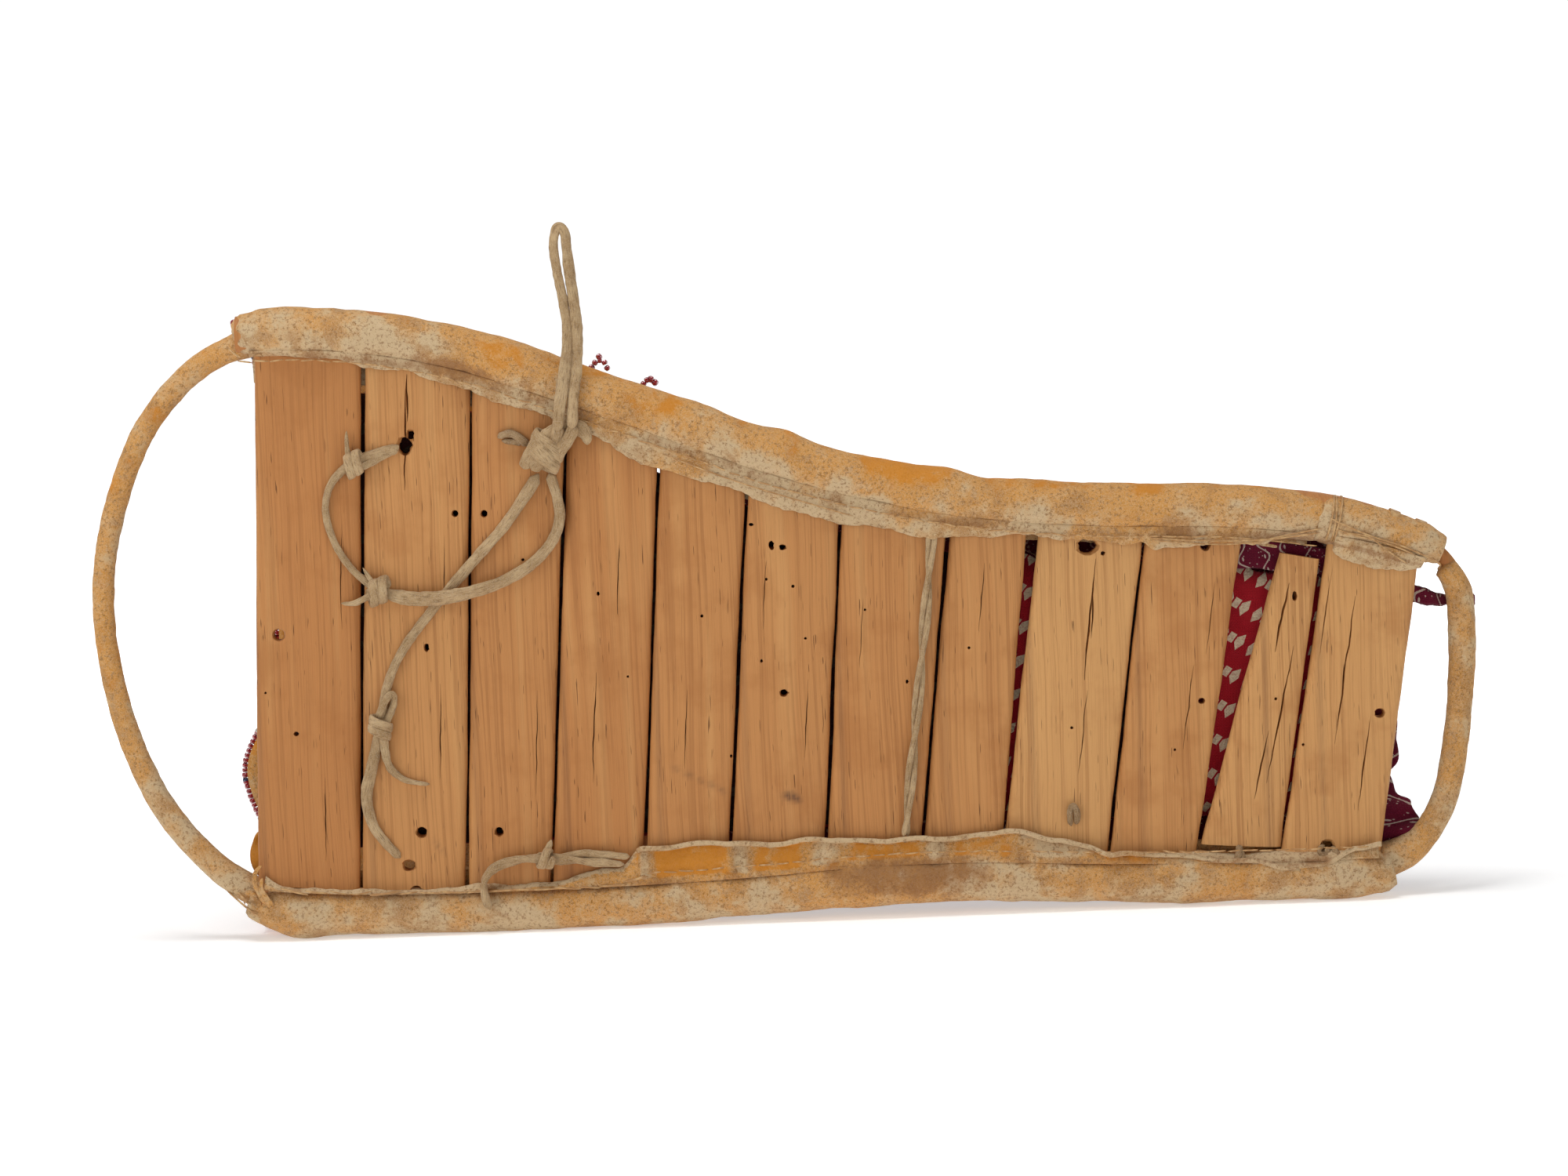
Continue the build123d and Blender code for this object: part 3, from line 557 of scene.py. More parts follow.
def thong_material(name, light, dark, grain):
    """Soft grey-beige hide cut into thong, with darker creases along it."""
    material, tree, shader = new_material(name, Sheen_Weight=0.06, Sheen_Roughness=0.5, Specular_IOR_Level=0.12)
    place = object_place(tree)
    along = stretched(tree, uv_place(tree), (2600.0, 240.0, 1.0))
    creases = speckle(tree, along, 1.0, 3.0, 0.6)
    patches = speckle(tree, place, grain, 4.0, 0.6)
    fuzz = speckle(tree, place, 2300.0, 3.0, 0.7)
    colour = mix(tree, span(tree, patches, 0.35, 0.68), dark, light)
    colour = mix(tree, span(tree, creases, 0.5, 0.66, 0.0, 0.7), colour, (0.17, 0.095, 0.04, 1))
    colour = mix(tree, span(tree, fuzz, 0.45, 0.65, 0.0, 0.35), colour, (0.60, 0.48, 0.34, 1))
    height = calc(tree, "MULTIPLY_ADD", fuzz, 0.4, times(tree, creases, -0.6))
    finish_material(tree, shader, colour, 0.88, height, 0.0004)
    return material


thong_hide = thong_material("thong_hide", (0.53, 0.37, 0.20, 1), (0.37, 0.235, 0.112, 1), 130.0)
old_thong = thong_material("old_thong", (0.40, 0.26, 0.135, 1), (0.25, 0.15, 0.07, 1), 160.0)

sinew, tree, shader = new_material("sinew", Specular_IOR_Level=0.4)
twist = speckle(tree, stretched(tree, uv_place(tree), (2600.0, 500.0, 1.0), turn=(0, 0, 0.5)), 1.0, 2.0)
spots = speckle(tree, object_place(tree), 400.0, 3.0)
colour = mix(tree, span(tree, spots, 0.4, 0.66), (0.42, 0.22, 0.08, 1), (0.60, 0.38, 0.17, 1))
colour = mix(tree, span(tree, twist, 0.5, 0.7, 0.0, 0.5), colour, (0.26, 0.13, 0.05, 1))
finish_material(tree, shader, colour, 0.5, twist, 0.0002)
print("hide, thong and sinew")

# %% Wood materials
def wood_material(name, seed, pale, red):
    """Straight-grained board or rod. Each slat was split from another billet, so each has its own seed."""
    material, tree, shader = new_material(name, Specular_IOR_Level=0.2)
    out = use(tree, wood_group, Place=object_place(tree), Seed=seed, Pale=pale, Red=red,
              Grime=painted(tree, "grime"))
    finish_material(tree, shader, out["Colour"], out["Roughness"], out["Height"], 0.00028)
    return material


pole_wood = wood_material("pole_wood", 3.3, 0.2, 0.5)
rod_wood = wood_material("rod_wood", 8.1, 0.1, 0.8)
print("two rod woods")

# %% Calico materials
def woven(name, print_colours):
    """Calico whose printed colour comes from a function of the tree and the cloth's own map."""
    material, tree, shader = new_material(name, Sheen_Weight=0.1, Specular_IOR_Level=0.15)
    place = uv_place(tree)
    weave = use(tree, weave_group, Place=place)
    colour = mix(tree, 1.0, print_colours(tree, place), weave["Shade"], "MULTIPLY")
    colour = mix(tree, 0.35, colour, print_colours(tree, place))
    # Painted shade: where that painted number is high, the cloth is darkened nearly to black.
    colour = mix(tree, painted(tree, "gap_shade"), colour, (0.012, 0.007, 0.005, 1))
    finish_material(tree, shader, colour, 0.85, weave["Height"], 0.0002)
    return material


def cell(tree, place, wide, high, turn, stagger=0.5):
    """Where a point is in its cell of a repeating print, from the cell's middle."""
    ways = put(tree, "ShaderNodeSeparateXYZ", Vector=stretched(tree, place, (1 / wide, 1 / high, 1.0),
                                                                turn=(0, 0, turn))).outputs
    row = calc(tree, "FLOOR", ways[1])
    odd = times(tree, calc(tree, "MODULO", calc(tree, "ABSOLUTE", row), 2.0), stagger)
    x = minus(tree, calc(tree, "FRACT", calc(tree, "ADD", ways[0], odd)), 0.5)
    y = minus(tree, calc(tree, "FRACT", ways[1]), 0.5)
    return x, y


def wedge_print(tree, place):
    """Cream spools with a fan at each end, in staggered rows on crimson."""
    x, y = cell(tree, place, 0.0132, 0.0118, 0.62)
    far, wide = calc(tree, "ABSOLUTE", x), calc(tree, "ABSOLUTE", y)
    spool = times(tree, calc(tree, "LESS_THAN", far, 0.1), calc(tree, "LESS_THAN", wide, 0.16))
    fan_edge = calc(tree, "MULTIPLY_ADD", far, 1.25, -0.1)
    fan = times(tree, calc(tree, "LESS_THAN", wide, fan_edge),
               times(tree, calc(tree, "GREATER_THAN", far, 0.15),
                    calc(tree, "LESS_THAN", calc(tree, "MULTIPLY_ADD", wide, 0.35, far), 0.42)))
    ink = calc(tree, "MAXIMUM", spool, fan)
    worn = span(tree, speckle(tree, stretched(tree, place, (1.0, 1.0, 1.0)), 900.0, 3.0), 0.3, 0.6, 0.65, 1.0)
    ground = mix(tree, speckle(tree, place, 160.0), (0.36, 0.004, 0.014, 1), (0.47, 0.012, 0.022, 1))
    return mix(tree, times(tree, ink, worn), ground, (0.80, 0.66, 0.46, 1))


def vine_print(tree, place):
    """Fine white vines with leaves and dots on maroon."""
    x, y = cell(tree, place, 0.011, 0.0085, 0.3, 0.37)
    swing = times(tree, calc(tree, "SINE", times(tree, x, 2 * math.pi)), 0.22)
    stem = calc(tree, "LESS_THAN", calc(tree, "ABSOLUTE", minus(tree, y, swing)), 0.045)
    leaf_x = minus(tree, calc(tree, "ABSOLUTE", x), 0.24)
    leaf = calc(tree, "LESS_THAN", calc(tree, "ADD", times(tree, leaf_x, leaf_x),
                times(tree, calc(tree, "POWER", calc(tree, "ABSOLUTE", y), 2.0), 3.0)), 0.006)
    dots = put(tree, "ShaderNodeTexVoronoi", Vector=place, Scale=620.0).outputs["Distance"]
    dot = times(tree, calc(tree, "LESS_THAN", dots, 0.17), 0.8)
    ink = calc(tree, "MAXIMUM", calc(tree, "MAXIMUM", stem, leaf), dot)
    ground = mix(tree, speckle(tree, place, 130.0), (0.105, 0.003, 0.018, 1), (0.185, 0.006, 0.03, 1))
    return mix(tree, times(tree, ink, 0.8), ground, (0.66, 0.55, 0.46, 1))


red_calico = woven("red_calico", wedge_print)
maroon_calico = woven("maroon_calico", vine_print)
print("two calicoes")

# %% Bead glass
def bead_glass(name, colour, share):
    material, tree, shader = new_material(name, Roughness=0.12, IOR=1.5)
    shader.inputs["Transmission Weight"].default_value = share
    cloud = speckle(tree, object_place(tree), 700.0, 2.0)
    deep = tuple(c * 0.45 for c in colour[:3]) + (1,)
    tree.links.new(mix(tree, cloud, deep, colour), shader.inputs["Base Color"])
    return material


red_glass = bead_glass("red_glass", (0.46, 0.018, 0.03, 1), 0.2)
blue_glass = bead_glass("blue_glass", (0.02, 0.035, 0.12, 1), 0.1)
white_glass = bead_glass("white_glass", (0.7, 0.66, 0.56, 1), 0.15)
print("three bead glasses")

# %% [markdown]
# ## Thongs
# The thongs are strips of soft hide, cut a few millimetres wide and rolled by use. Each follows one smooth
# spline and is skinned with a flat oval that twists a little and swells and thins as hand-cut hide does. A
# knot is the same strip wound round the thong, so it is made as a flat helix. The thongs come first among the
# pieces, because they are what lies loose.

# %% Thong helpers
def thong_skin(name, line, wide, thick, seed, turn=None, sides=18, facing=Vector((0, -1, 0)), rough=0.14):
    """A strip of hide along a line. wide and thick are full sizes in millimetres at a share of its length."""
    total = length_of(line) / MM

    def shape(s, a, place):
        share = s / total
        end = min(1.0, math.sqrt(max(0.02, min(s, total - s) / 1.6)))
        edge = 1 + rough * lump(s, 6 * math.cos(a), 6 * math.sin(a), 2.4, seed) + 0.1 * lump(s, 0, 0, 9, seed + 2)
        flat = math.copysign(abs(math.cos(a)) ** 0.8, math.cos(a))
        broad = math.copysign(abs(math.sin(a)) ** 0.8, math.sin(a))
        return thick(share) / 2 * flat * edge * end, wide(share) / 2 * broad * edge * end

    return skin(name, line, shape, sides, facing, turn)


def wound(name, centre, axis, radii, turns, step, strap, seed, skew=0.0):
    """A strip wound round an axis that lies across the slats, as a helix flattened towards them."""
    centre, axis = Vector(centre), Vector((axis[0], 0, axis[1])).normalized()
    out = axis.cross(Vector((0, 1, 0)))
    points, facing = [], []
    count = int(turns * 16)
    for i in range(count + 1):
        a = 2 * math.pi * i / 16 + 0.6
        tuck = 1 - 0.35 * max(0.0, 1 - min(i, count - i) / 3)
        swell = (1 + 0.1 * lump(i, 3, 0, 5, seed)) * tuck
        radial = out * (radii[0] * math.cos(a) * swell) + Vector((0, 1, 0)) * (radii[1] * math.sin(a) * swell)
        slip = axis * (step * (i / 16 - turns / 2) + skew * math.cos(a))
        points.append(at(*(centre + radial + slip)))
        facing.append(radial.normalized())
    return thong_skin(name, points, lambda u: strap[0], lambda u: strap[1], seed, sides=12, facing=facing)


def flat_size(*pairs):
    return lambda share: easing(share, *pairs)


LIE = -5.0
print("thong helpers ready")

# %% The hang loop and its knot
loop_line = drawn_line((
    (-82.4, -12.4, 190.5), (-81.3, -12.8, 199), (-79.4, -13.0, 209), (-77.5, -13.0, 219), (-77.0, -12.9, 229),
    (-78.2, -12.6, 240), (-80.1, -12.3, 251), (-81.3, -12.2, 260), (-79.6, -12.2, 267.6), (-76.4, -12.2, 266.0),
    (-75.9, -12.2, 257), (-75.0, -12.0, 246), (-73.6, -11.8, 234), (-73.6, -11.6, 222), (-74.9, -11.6, 210),
    (-76.4, -11.9, 200), (-76.9, -12.2, 191)))
hang_loop = thong_skin("hang_loop_strap", loop_line,
                       flat_size((0, 4.3), (0.12, 4.6), (0.3, 3.7), (0.45, 3.5), (0.52, 3.6), (0.62, 4.4),
                                 (0.85, 4.6), (1, 4.2)),
                       flat_size((0, 2.4), (0.5, 2.3), (1, 2.4)), 1.0, lambda s: 0.5 * math.sin(s / 21))
ready(hang_loop, "hang_loop", "thong_hide", thong_hide, "hang_loop")
knot_axis = (0.42, 0.9)
hang_knot = join(
    "hang_knot_wraps",
    wound("w", (-87.0, -8.2, 183.5), knot_axis, (6.4, 3.3), 2.6, 4.6, (5.4, 2.1), 2.0, 0.8),
    wound("w", (-88.5, -8.6, 182.0), (0.9, 0.5), (5.0, 3.6), 1.1, 3.0, (5.2, 2.0), 3.0, -1.0),
    thong_skin("w", drawn_line(((-93, -7.6, 176), (-88, -9.6, 181), (-83, -9.8, 187),
                               (-81.5, -11.2, 192.5))),
               flat_size((0, 5.4), (1, 4.8)), flat_size((0, 2.8), (1, 2.4)), 4.0),
    thong_skin("w", drawn_line(((-86, -8.8, 179), (-81, -10.8, 184), (-77.5, -11.0, 188.5),
                               (-75.8, -11.6, 192.5))),
               flat_size((0, 5.6), (1, 4.6)), flat_size((0, 2.4), (1, 2.2)), 5.0),
    thong_skin("w", drawn_line(((-84, -7.6, 190.5), (-79.5, -9.0, 192.5), (-74.5, -9.8, 192.0),
                               (-71.2, -9.0, 188.0), (-71.6, -8.2, 184.8))),
               flat_size((0, 5.2), (0.6, 5.6), (1, 3.0)), flat_size((0, 2.0), (1, 1.8)), 6.0),
    thong_skin("w", drawn_line(((-96, -6.2, 176.5), (-94, -9.4, 181.5), (-90, -10.4, 186.5),
                               (-84.5, -9.6, 190.5), (-80.5, -7.6, 191.5))),
               flat_size((0, 4.6), (1, 5.0)), flat_size((0, 2.0), (1, 2.0)), 7.0))
ready(hang_knot, "frame", "thong_hide", thong_hide, "hang_knot")
print("hang loop", round(length_of(loop_line), 4), "m")

# %% The long thong, with its bow knot
long_line = drawn_line((
    (-90.5, -6.2, 174.5), (-101, LIE, 158.5), (-115, LIE, 144), (-126, LIE + 0.2, 132.5), (-136.5, LIE, 120.5),
    (-145, LIE, 110), (-151.5, LIE, 97.5), (-154.5, LIE - 0.4, 82.5), (-158, LIE, 67), (-161.5, LIE, 56),
    (-160.5, LIE, 45), (-155.5, LIE, 36.5), (-149.5, LIE + 1.0, 30)))
long_thong = thong_skin("long_thong_strip", long_line,
                        flat_size((0, 4.8), (0.15, 4.2), (0.45, 3.6), (0.6, 3.3), (0.8, 4.6), (1, 3.2)),
                        flat_size((0, 2.8), (0.5, 2.6), (1, 2.4)), 11.0, lambda s: 0.45 * math.sin(s / 13))
ready(long_thong, "frame", "thong_hide", thong_hide, "long_thong")

slack_line = drawn_line((
    (-86.5, -6.0, 174.5), (-83, LIE, 164), (-83.5, LIE, 153), (-91, LIE - 0.3, 142.5), (-104, LIE - 1.7, 134.5),
    (-118, -9.0, 130.5), (-133, -9.0, 128.5), (-145, LIE - 1.5, 129.5), (-154, LIE, 133), (-163, LIE, 140.5),
    (-169.5, LIE, 151.5), (-172.5, LIE, 164), (-169.5, LIE, 174.5), (-161, LIE, 181.5), (-150, LIE, 185),
    (-143, LIE + 0.6, 186)))
slack_thong = thong_skin("slack_thong_strip", slack_line,
                         flat_size((0, 4.4), (0.12, 4.2), (0.27, 4.6), (0.38, 5.8), (0.5, 5.6), (0.56, 3.6),
                                   (0.64, 2.7), (0.8, 2.7), (0.88, 3.6), (1, 4.4)),
                         flat_size((0, 2.6), (0.3, 2.2), (0.45, 2.0), (0.6, 2.2), (1, 2.2)), 12.0,
                         lambda s: 0.5 * math.sin(s / 17 + 1))
ready(slack_thong, "frame", "thong_hide", thong_hide, "slack_thong")


def tail(points, start, finish, thick, seed):
    return thong_skin("w", drawn_line(points), flat_size((0, start), (0.5, (start + finish) / 2), (1, finish)),
                      flat_size((0, thick), (1, thick * 0.8)), seed, sides=12, rough=0.2)


bow_knot = join(
    "bow_knot_wraps",
    wound("w", (-154.6, -7.0, 80.5), (0.15, 1.0), (3.9, 2.9), 2.3, 3.2, (3.6, 1.7), 21.0, 0.5),
    tail(((-155.5, -7.2, 84), (-153.0, -8.2, 89.5), (-150.0, -7.6, 93.8), (-148.4, -6.6, 91.5), (-150.4, -6.2, 86),
          (-153.0, -6.6, 81)), 2.6, 3.0, 1.8, 22.0),
    tail(((-153.5, -7.2, 79), (-153.4, -6.6, 72.5), (-152.6, -6.0, 66), (-148.6, -5.6, 61.0), (-143.0, -5.2, 58.6),
          (-137.0, -5.0, 58.0)), 3.8, 1.5, 1.9, 23.0))
slack_knot = join(
    "slack_knot_wraps",
    wound("w", (-153.0, -7.2, 132.3), (0.95, 0.3), (4.4, 3.1), 2.2, 3.4, (3.8, 1.8), 24.0, 0.6),
    tail(((-154, -6.8, 131.5), (-158.5, -6.2, 129.8), (-163, -5.6, 127.5), (-167.5, -5.2, 128.2)),
         3.4, 1.3, 1.7, 25.0),
    tail(((-154, -6.8, 134), (-156.5, -6.4, 138), (-158.6, -5.8, 141.5)), 2.6, 1.0, 1.5, 26.0))
head_knot = join(
    "head_knot_wraps",
    wound("w", (-160.3, -7.0, 180.8), (0.85, 0.45), (3.9, 2.9), 2.2, 3.1, (3.4, 1.7), 27.0, 0.5),
    tail(((-161.5, -6.4, 183), (-163.0, -6.0, 187.5), (-162.4, -5.4, 193.5)), 2.6, 0.9, 1.6, 28.0),
    tail(((-159, -6.6, 178.6), (-152.5, -5.6, 181.6), (-147, -5.2, 184.4), (-143, -4.6, 187.2)),
         2.8, 3.2, 1.8, 29.0))
for piece, nodes in ((bow_knot, ("thong_knots",)), (slack_knot, ()), (head_knot, ())):
    ready(piece, "frame", "thong_hide", thong_hide, *nodes)
print("long thong", round(length_of(long_line), 4), "m, slack thong", round(length_of(slack_line), 4), "m")

# %% The lower thong and the twisted cross cords
lower_thong_line = drawn_line((
    (-115.5, -12.2, 10), (-119, -10.4, 18), (-115, -8.2, 25.5), (-104, -7.0, 28.4), (-94, -6.8, 28.0),
    (-78.5, -6.9, 26.6), (-64, -7.1, 24.6)))
lower_thong = thong_skin("lower_thong_strip", lower_thong_line,
                         flat_size((0, 3.4), (0.25, 3.6), (0.5, 4.4), (0.75, 4.6), (1, 2.4)),
                         flat_size((0, 2.2), (0.4, 2.8), (1, 2.2)), 31.0, lambda s: s / 6.5)
ready(lower_thong, "frame", "thong_hide", thong_hide, "lower_thong")
lower_knot = join(
    "lower_knot_wraps",
    wound("w", (-93.6, -8.6, 28.3), (1.0, -0.1), (3.3, 2.9), 1.8, 3.0, (3.4, 1.7), 32.0, 0.4),
    tail(((-94, -8.4, 30), (-92.6, -8.4, 32.5), (-91.4, -7.6, 35.2)), 3.0, 2.0, 1.6, 33.0),
    tail(((-90, -7.6, 27.5), (-82, -6.4, 30.0), (-72, -6.4, 28.6), (-62, -7.2, 27.6)), 2.8, 2.6, 2.0, 34.0))
ready(lower_knot, "frame", "thong_hide", thong_hide)

CROSS_STEP = 62.0
cross_middle = even(smooth_line([at(x, -5.85, z) for x, z in (
    (57.4, 146), (53.0, 108), (48.2, 70), (43.2, 31))]), MM)
for number, (side, phase) in enumerate((("left", 0.0), ("right", math.pi))):
    strand = []
    for i, point in enumerate(cross_middle):
        a = phase + 2 * math.pi * i / CROSS_STEP
        strand.append(point + Vector((-math.cos(a) * 1.15, math.sin(a) * 0.85, 0)) * MM)
    cord = thong_skin("cross_strand_" + side, strand, flat_size((0, 2.2), (1, 2.2)), flat_size((0, 1.5), (1, 1.5)),
                      40.0 + number, sides=12, rough=0.1)
    ready(cord, "frame", "thong_hide", thong_hide, "cross_cord_" + side)
    print("cross strand", side, round(length_of(strand), 4), "m")

# %% Tie ends at three slats
tie_ends = join(
    "slat_tie_ends",
    tail(((-105.5, -4.6, 188.6), (-101.5, -5.8, 191.0), (-97.0, -5.6, 188.4), (-94.0, -4.8, 185.2)),
         2.6, 3.4, 1.8, 51.0),
    tail(((-104.0, -4.4, 187.4), (-100.0, -5.4, 187.0), (-96.0, -5.0, 186.2)), 1.8, 2.6, 1.6, 52.0),
    tail(((108.4, -4.6, 33.0), (109.2, -6.0, 37.2), (107.4, -6.6, 41.2), (105.6, -6.0, 38.0), (106.4, -4.8, 32.5)),
         2.6, 2.2, 1.6, 53.0),
    tail(((204.2, -2.6, 20.5), (203.6, -5.0, 17.5), (203.2, -6.6, 13.0), (201.0, -8.2, 8.6)), 2.4, 1.4, 1.6, 54.0),
    tail(((205.6, -2.6, 20.5), (208.0, -5.4, 18.2), (207.4, -7.0, 14.0), (203.5, -8.8, 9.6)), 2.2, 1.6, 1.5, 55.0),
    tail(((203.2, -2.2, 21.0), (200.4, -5.0, 20.6), (201.0, -5.6, 17.6), (205.0, -5.2, 17.4)), 2.0, 1.4, 1.5, 56.0))
ready(tie_ends, "frame", "thong_hide", old_thong, "slat_ties")
print("tie ends", len(tie_ends.data.polygons), "faces")

# %% [markdown]
# ## The hide tubes and their hems
# Each side pole lies in a tube of hide. Its free edges run on past the slats as two hems, one behind them and
# one in front, which are sewn together through the gaps. Hide that was wet when it was sewn dries lumpy, so
# the tubes swell and sag, the hems wave, and each pleat stands up a little.

# %% The upper tube
def wrinkles(a, place, seed, deep=0.3):
    """The creases round a hide tube, and its lumps."""
    round_y, round_z = 9 * math.cos(a), 9 * math.sin(a)
    rings = lump(place.x, round_y * 0.35, round_z * 0.35, 3.2, seed)
    ripples = max(0.0, lump(place.x, round_y * 0.2, round_z * 0.2, 7.5, seed + 5)) ** 2
    return (deep * rings * (0.4 + 0.6 * ripples) + 0.55 * lump(place.x, round_y, round_z, 16, seed + 1)
            + 0.28 * lump(place.x, round_y, round_z, 6, seed + 2) - deep * 1.6 * ripples)


def upper_tube(s, a, place):
    top = max(0.0, math.sin(a))
    radius = 9.55 + wrinkles(a, place, 1.0)
    radius += (1.5 * bump_at(place.x, 1.0, 7) + 1.3 * bump_at(place.x, 61, 9) - 0.8 * bump_at(place.x, 76, 8)
               + 0.7 * bump_at(place.x, -98, 10) + 0.8 * bump_at(place.x, -28, 8)
               - 0.7 * bump_at(place.x, 24, 9)) * top
    radius *= easing(place.x, (-203.6, 0.5), (-202, 0.68), (-198.5, 0.84), (-193, 1.0), (190, 1.0), (202, 0.97),
                     (206.5, 0.9))
    radius += easing(place.x, (-204, 0.6), (-194, 0.0)) * math.cos(7 * a)
    return radius * math.cos(a), radius * math.sin(a)


Y_FACING = Vector((0, 1, 0))
head_end = [at(x, 0, upper_height(-198) - 1.2 + (x + 203) * 0.25) for x in (-203.6, -202.9, -201.8, -200.6)]
upper_tube_line = head_end + part_of(upper_line, -199.6, 205.5)
upper_tube_skin = skin("upper_tube", upper_tube_line, upper_tube, 56, Y_FACING)


def hem(name, line, root, reach, depth, thick, seed, ripple=0.5, edge=0.5):
    """A hem beside a rail: from root out to reach at each place, lying at a depth behind or before the slats."""
    def shape(s, a, place):
        share = (1 - math.cos(a)) / 2
        far = reach(place.x) + edge * lump(place.x, 0, 0, 3.5, seed) + 0.5 * edge * lump(place.x, 5, 0, 1.2, seed)
        out = root(place.x) + (far - root(place.x)) * share
        wave = (ripple * share * lump(place.x, out * 0.3, 0, 11, seed + 3)
                + 0.25 * lump(place.x, out, 0, 3.5, seed + 4))
        half = thick / 2 * (1 - 0.35 * share) * math.sin(a)
        return depth(place.x, share) + wave + half, out

    return skin(name, line, shape, 26, Y_FACING)


def upper_reach(x):
    base = easing(x, (-204, 9.0), (-165, 9.6), (-140, 11.5), (-115, 13.2), (-86, 13.0), (-66, 15.5), (-42, 17.8),
                  (-12, 17.2), (29, 17.4), (56, 16.6), (78, 12.8), (97, 12.2), (137, 12.2), (142, 15.8), (152, 15.4),
                  (166, 13.2), (184, 11.5), (192, 6.5), (206, 4.0))
    return -(base + 0.7 * math.sin(x / 9.0) + 0.5 * math.sin(x / 4.1 + 1))


def pleat(x, *places):
    return sum(high * bump_at(x, place, wide) for place, wide, high in places)


UPPER_PLEATS = ((-16, 2.2, 2.2), (-54, 2.4, 1.4), (61, 2.6, 1.3), (139, 2.2, 2.0), (-118, 3, 1.2), (100, 2, 0.9))
upper_hem_skin = hem("upper_hem", part_of(upper_line, -199, 203), lambda x: -6.5, upper_reach,
                     lambda x, share: -(5.2 + 1.6 * (1 - share) + 1.2 * pleat(x, *UPPER_PLEATS) * share),
                     1.7, 61.0, 0.6, 0.8)
upper_front_hem = hem("upper_front_hem", part_of(upper_line, -199, 203), lambda x: -6.5,
                      lambda x: -easing(x, (20, 18.8), (60, 15.0), (80, 13.6)),
                      lambda x, share: 3.7 + 0.8 * (1 - share), 1.3, 62.0, 0.2)
upper_hide = join("upper_rail_hide", upper_tube_skin, upper_hem_skin, upper_front_hem)


def upper_ochre(p):
    """Ochre on the crown of the tube, paler and greyer towards the hem, in drifts."""
    high = (p.z - upper_height(p.x)) / 10
    drift = 0.22 * lump(p.x, p.y, p.z, 30, 3) + 0.25 * lump(p.x, p.y, p.z, 11, 4)
    far = easing(p.x, (-204, -0.14), (-150, -0.06), (-60, 0.1), (-20, -0.06), (60, 0.12), (150, 0.06), (200, 0.0))
    panel = 0.2 * bump_at(p.x, -40, 22) * (1 if high < -1 else 0)
    return 0.5 + 0.26 * high + drift + far + panel


paint(upper_hide, "ochre", upper_ochre)


def upper_crease_shade_and_stain(p):
    """Painted shade in the crease where the tube turns into its hem, and a darker patch on the tube's lower side near
    -116 mm.
    """
    high = (p.z - upper_height(p.x)) / 10
    crease = easing(high, (-1.25, 0.0), (-0.95, 0.75), (-0.55, 0.45), (-0.15, 0.0))
    return (crease * (0.75 + 0.4 * lump(p.x, 0, 0, 21, 31))
            + 0.5 * bump_at(p.x, -116, 16) * bump_at(high, -0.5, 0.35))


paint(upper_hide, "stain", upper_crease_shade_and_stain)
ready(upper_hide, "frame", "ochre_hide", ochre_hide, "upper_rail_cover")
print("upper hide", len(upper_hide.data.polygons), "faces")

# %% The lower tube
def lower_tube(s, a, place):
    low = easing(place.x, (-60, 1.0), (-35, 0.0))
    radius = 9.6 - 0.75 * low + wrinkles(a, place, 2.0, 0.36)
    radius += (-0.9 * bump_at(place.x, 118, 9) + 0.7 * bump_at(place.x, 150, 8) - 0.7 * bump_at(place.x, 172, 6)
               + 0.6 * bump_at(place.x, 26, 11) - 0.6 * bump_at(place.x, -20, 9))
    radius *= easing(place.x, (-209.5, 0.3), (-206, 0.62), (-200, 0.88), (-192, 1.0), (214, 1.0), (224, 0.86),
                     (229, 0.66))
    radius += 2.2 * bump_at(place.x, -187, 13) * max(0.0, -math.sin(a))
    radius += easing(place.x, (-207, 0.6), (-199, 0.0)) * math.cos(6 * a)
    sag = -1.1 * low - max(0.0, -math.sin(a)) * 0.2
    return radius * math.cos(a), radius * math.sin(a) + sag


lower_end = [at(x, 0, z) for x, z in ((-208.2, 15.6), (-207.0, 15.2), (-205.4, 14.8))]
lower_tail = [at(x, 0, 10.2 + (x - 226) * 0.25) for x in (227.5, 229.0)]
lower_tube_line = lower_end + part_of(lower_line, -204, 226) + lower_tail
lower_tube_skin = skin("lower_tube", lower_tube_line, lower_tube, 56, Y_FACING)


def lower_reach(x):
    base = easing(x, (-204, 11.0), (-196, 8.2), (-165, 7.4), (-140, 7.8), (-119, 8.4), (-92, 9.0), (-66, 13.0),
                  (-57, 20.6), (-30, 20.4), (0, 18.6), (30, 16.8), (60, 15.6), (82, 19.0), (100, 15.0), (112, 13.0),
                  (121, 11.0), (140, 9.6), (155, 8.6), (176, 7.0), (188, 3.4), (200, 5.0), (215, 10.5), (224, 12.0))
    return base + 0.5 * math.sin(x / 7.0) + 0.3 * math.sin(x / 3.3)


LOWER_PLEATS = ((-24, 2.2, 1.8), (15, 2.4, 1.9), (54, 2.2, 1.8), (84, 2.0, 1.4), (121, 3.0, 2.6), (131, 2.4, 1.6))
lower_hem_skin = hem("lower_hem", part_of(lower_line, -203, 224), lambda x: 6.0, lower_reach,
                     lambda x, share: -(5.3 + 2.4 * (1 - share) + 1.3 * pleat(x, *LOWER_PLEATS) * share ** 0.5),
                     1.9, 63.0, 0.55)
lower_front_hem = hem("lower_front_hem", part_of(lower_line, -203, 224), lambda x: 6.0, lambda x: 13.4,
                      lambda x, share: 3.7 + 0.8 * (1 - share), 1.3, 64.0, 0.2)
EDGE_LIFTS = ((-60, 0.0), (-55, 1.0), (82, 1.0), (116, 0.8), (121, 1.9), (130, 0.9), (176, 1.4), (188, 2.4),
              (205, 1.6), (224, 1.0))
edge_line = [at(x, -6.4 - easing(x, *EDGE_LIFTS) - 0.8 * pleat(x, *LOWER_PLEATS) + 0.5 * lump(x, 0, 0, 9, 5),
                lower_height(x) + lower_reach(x) - 0.4) for x in steps(-59, 283, 240)]


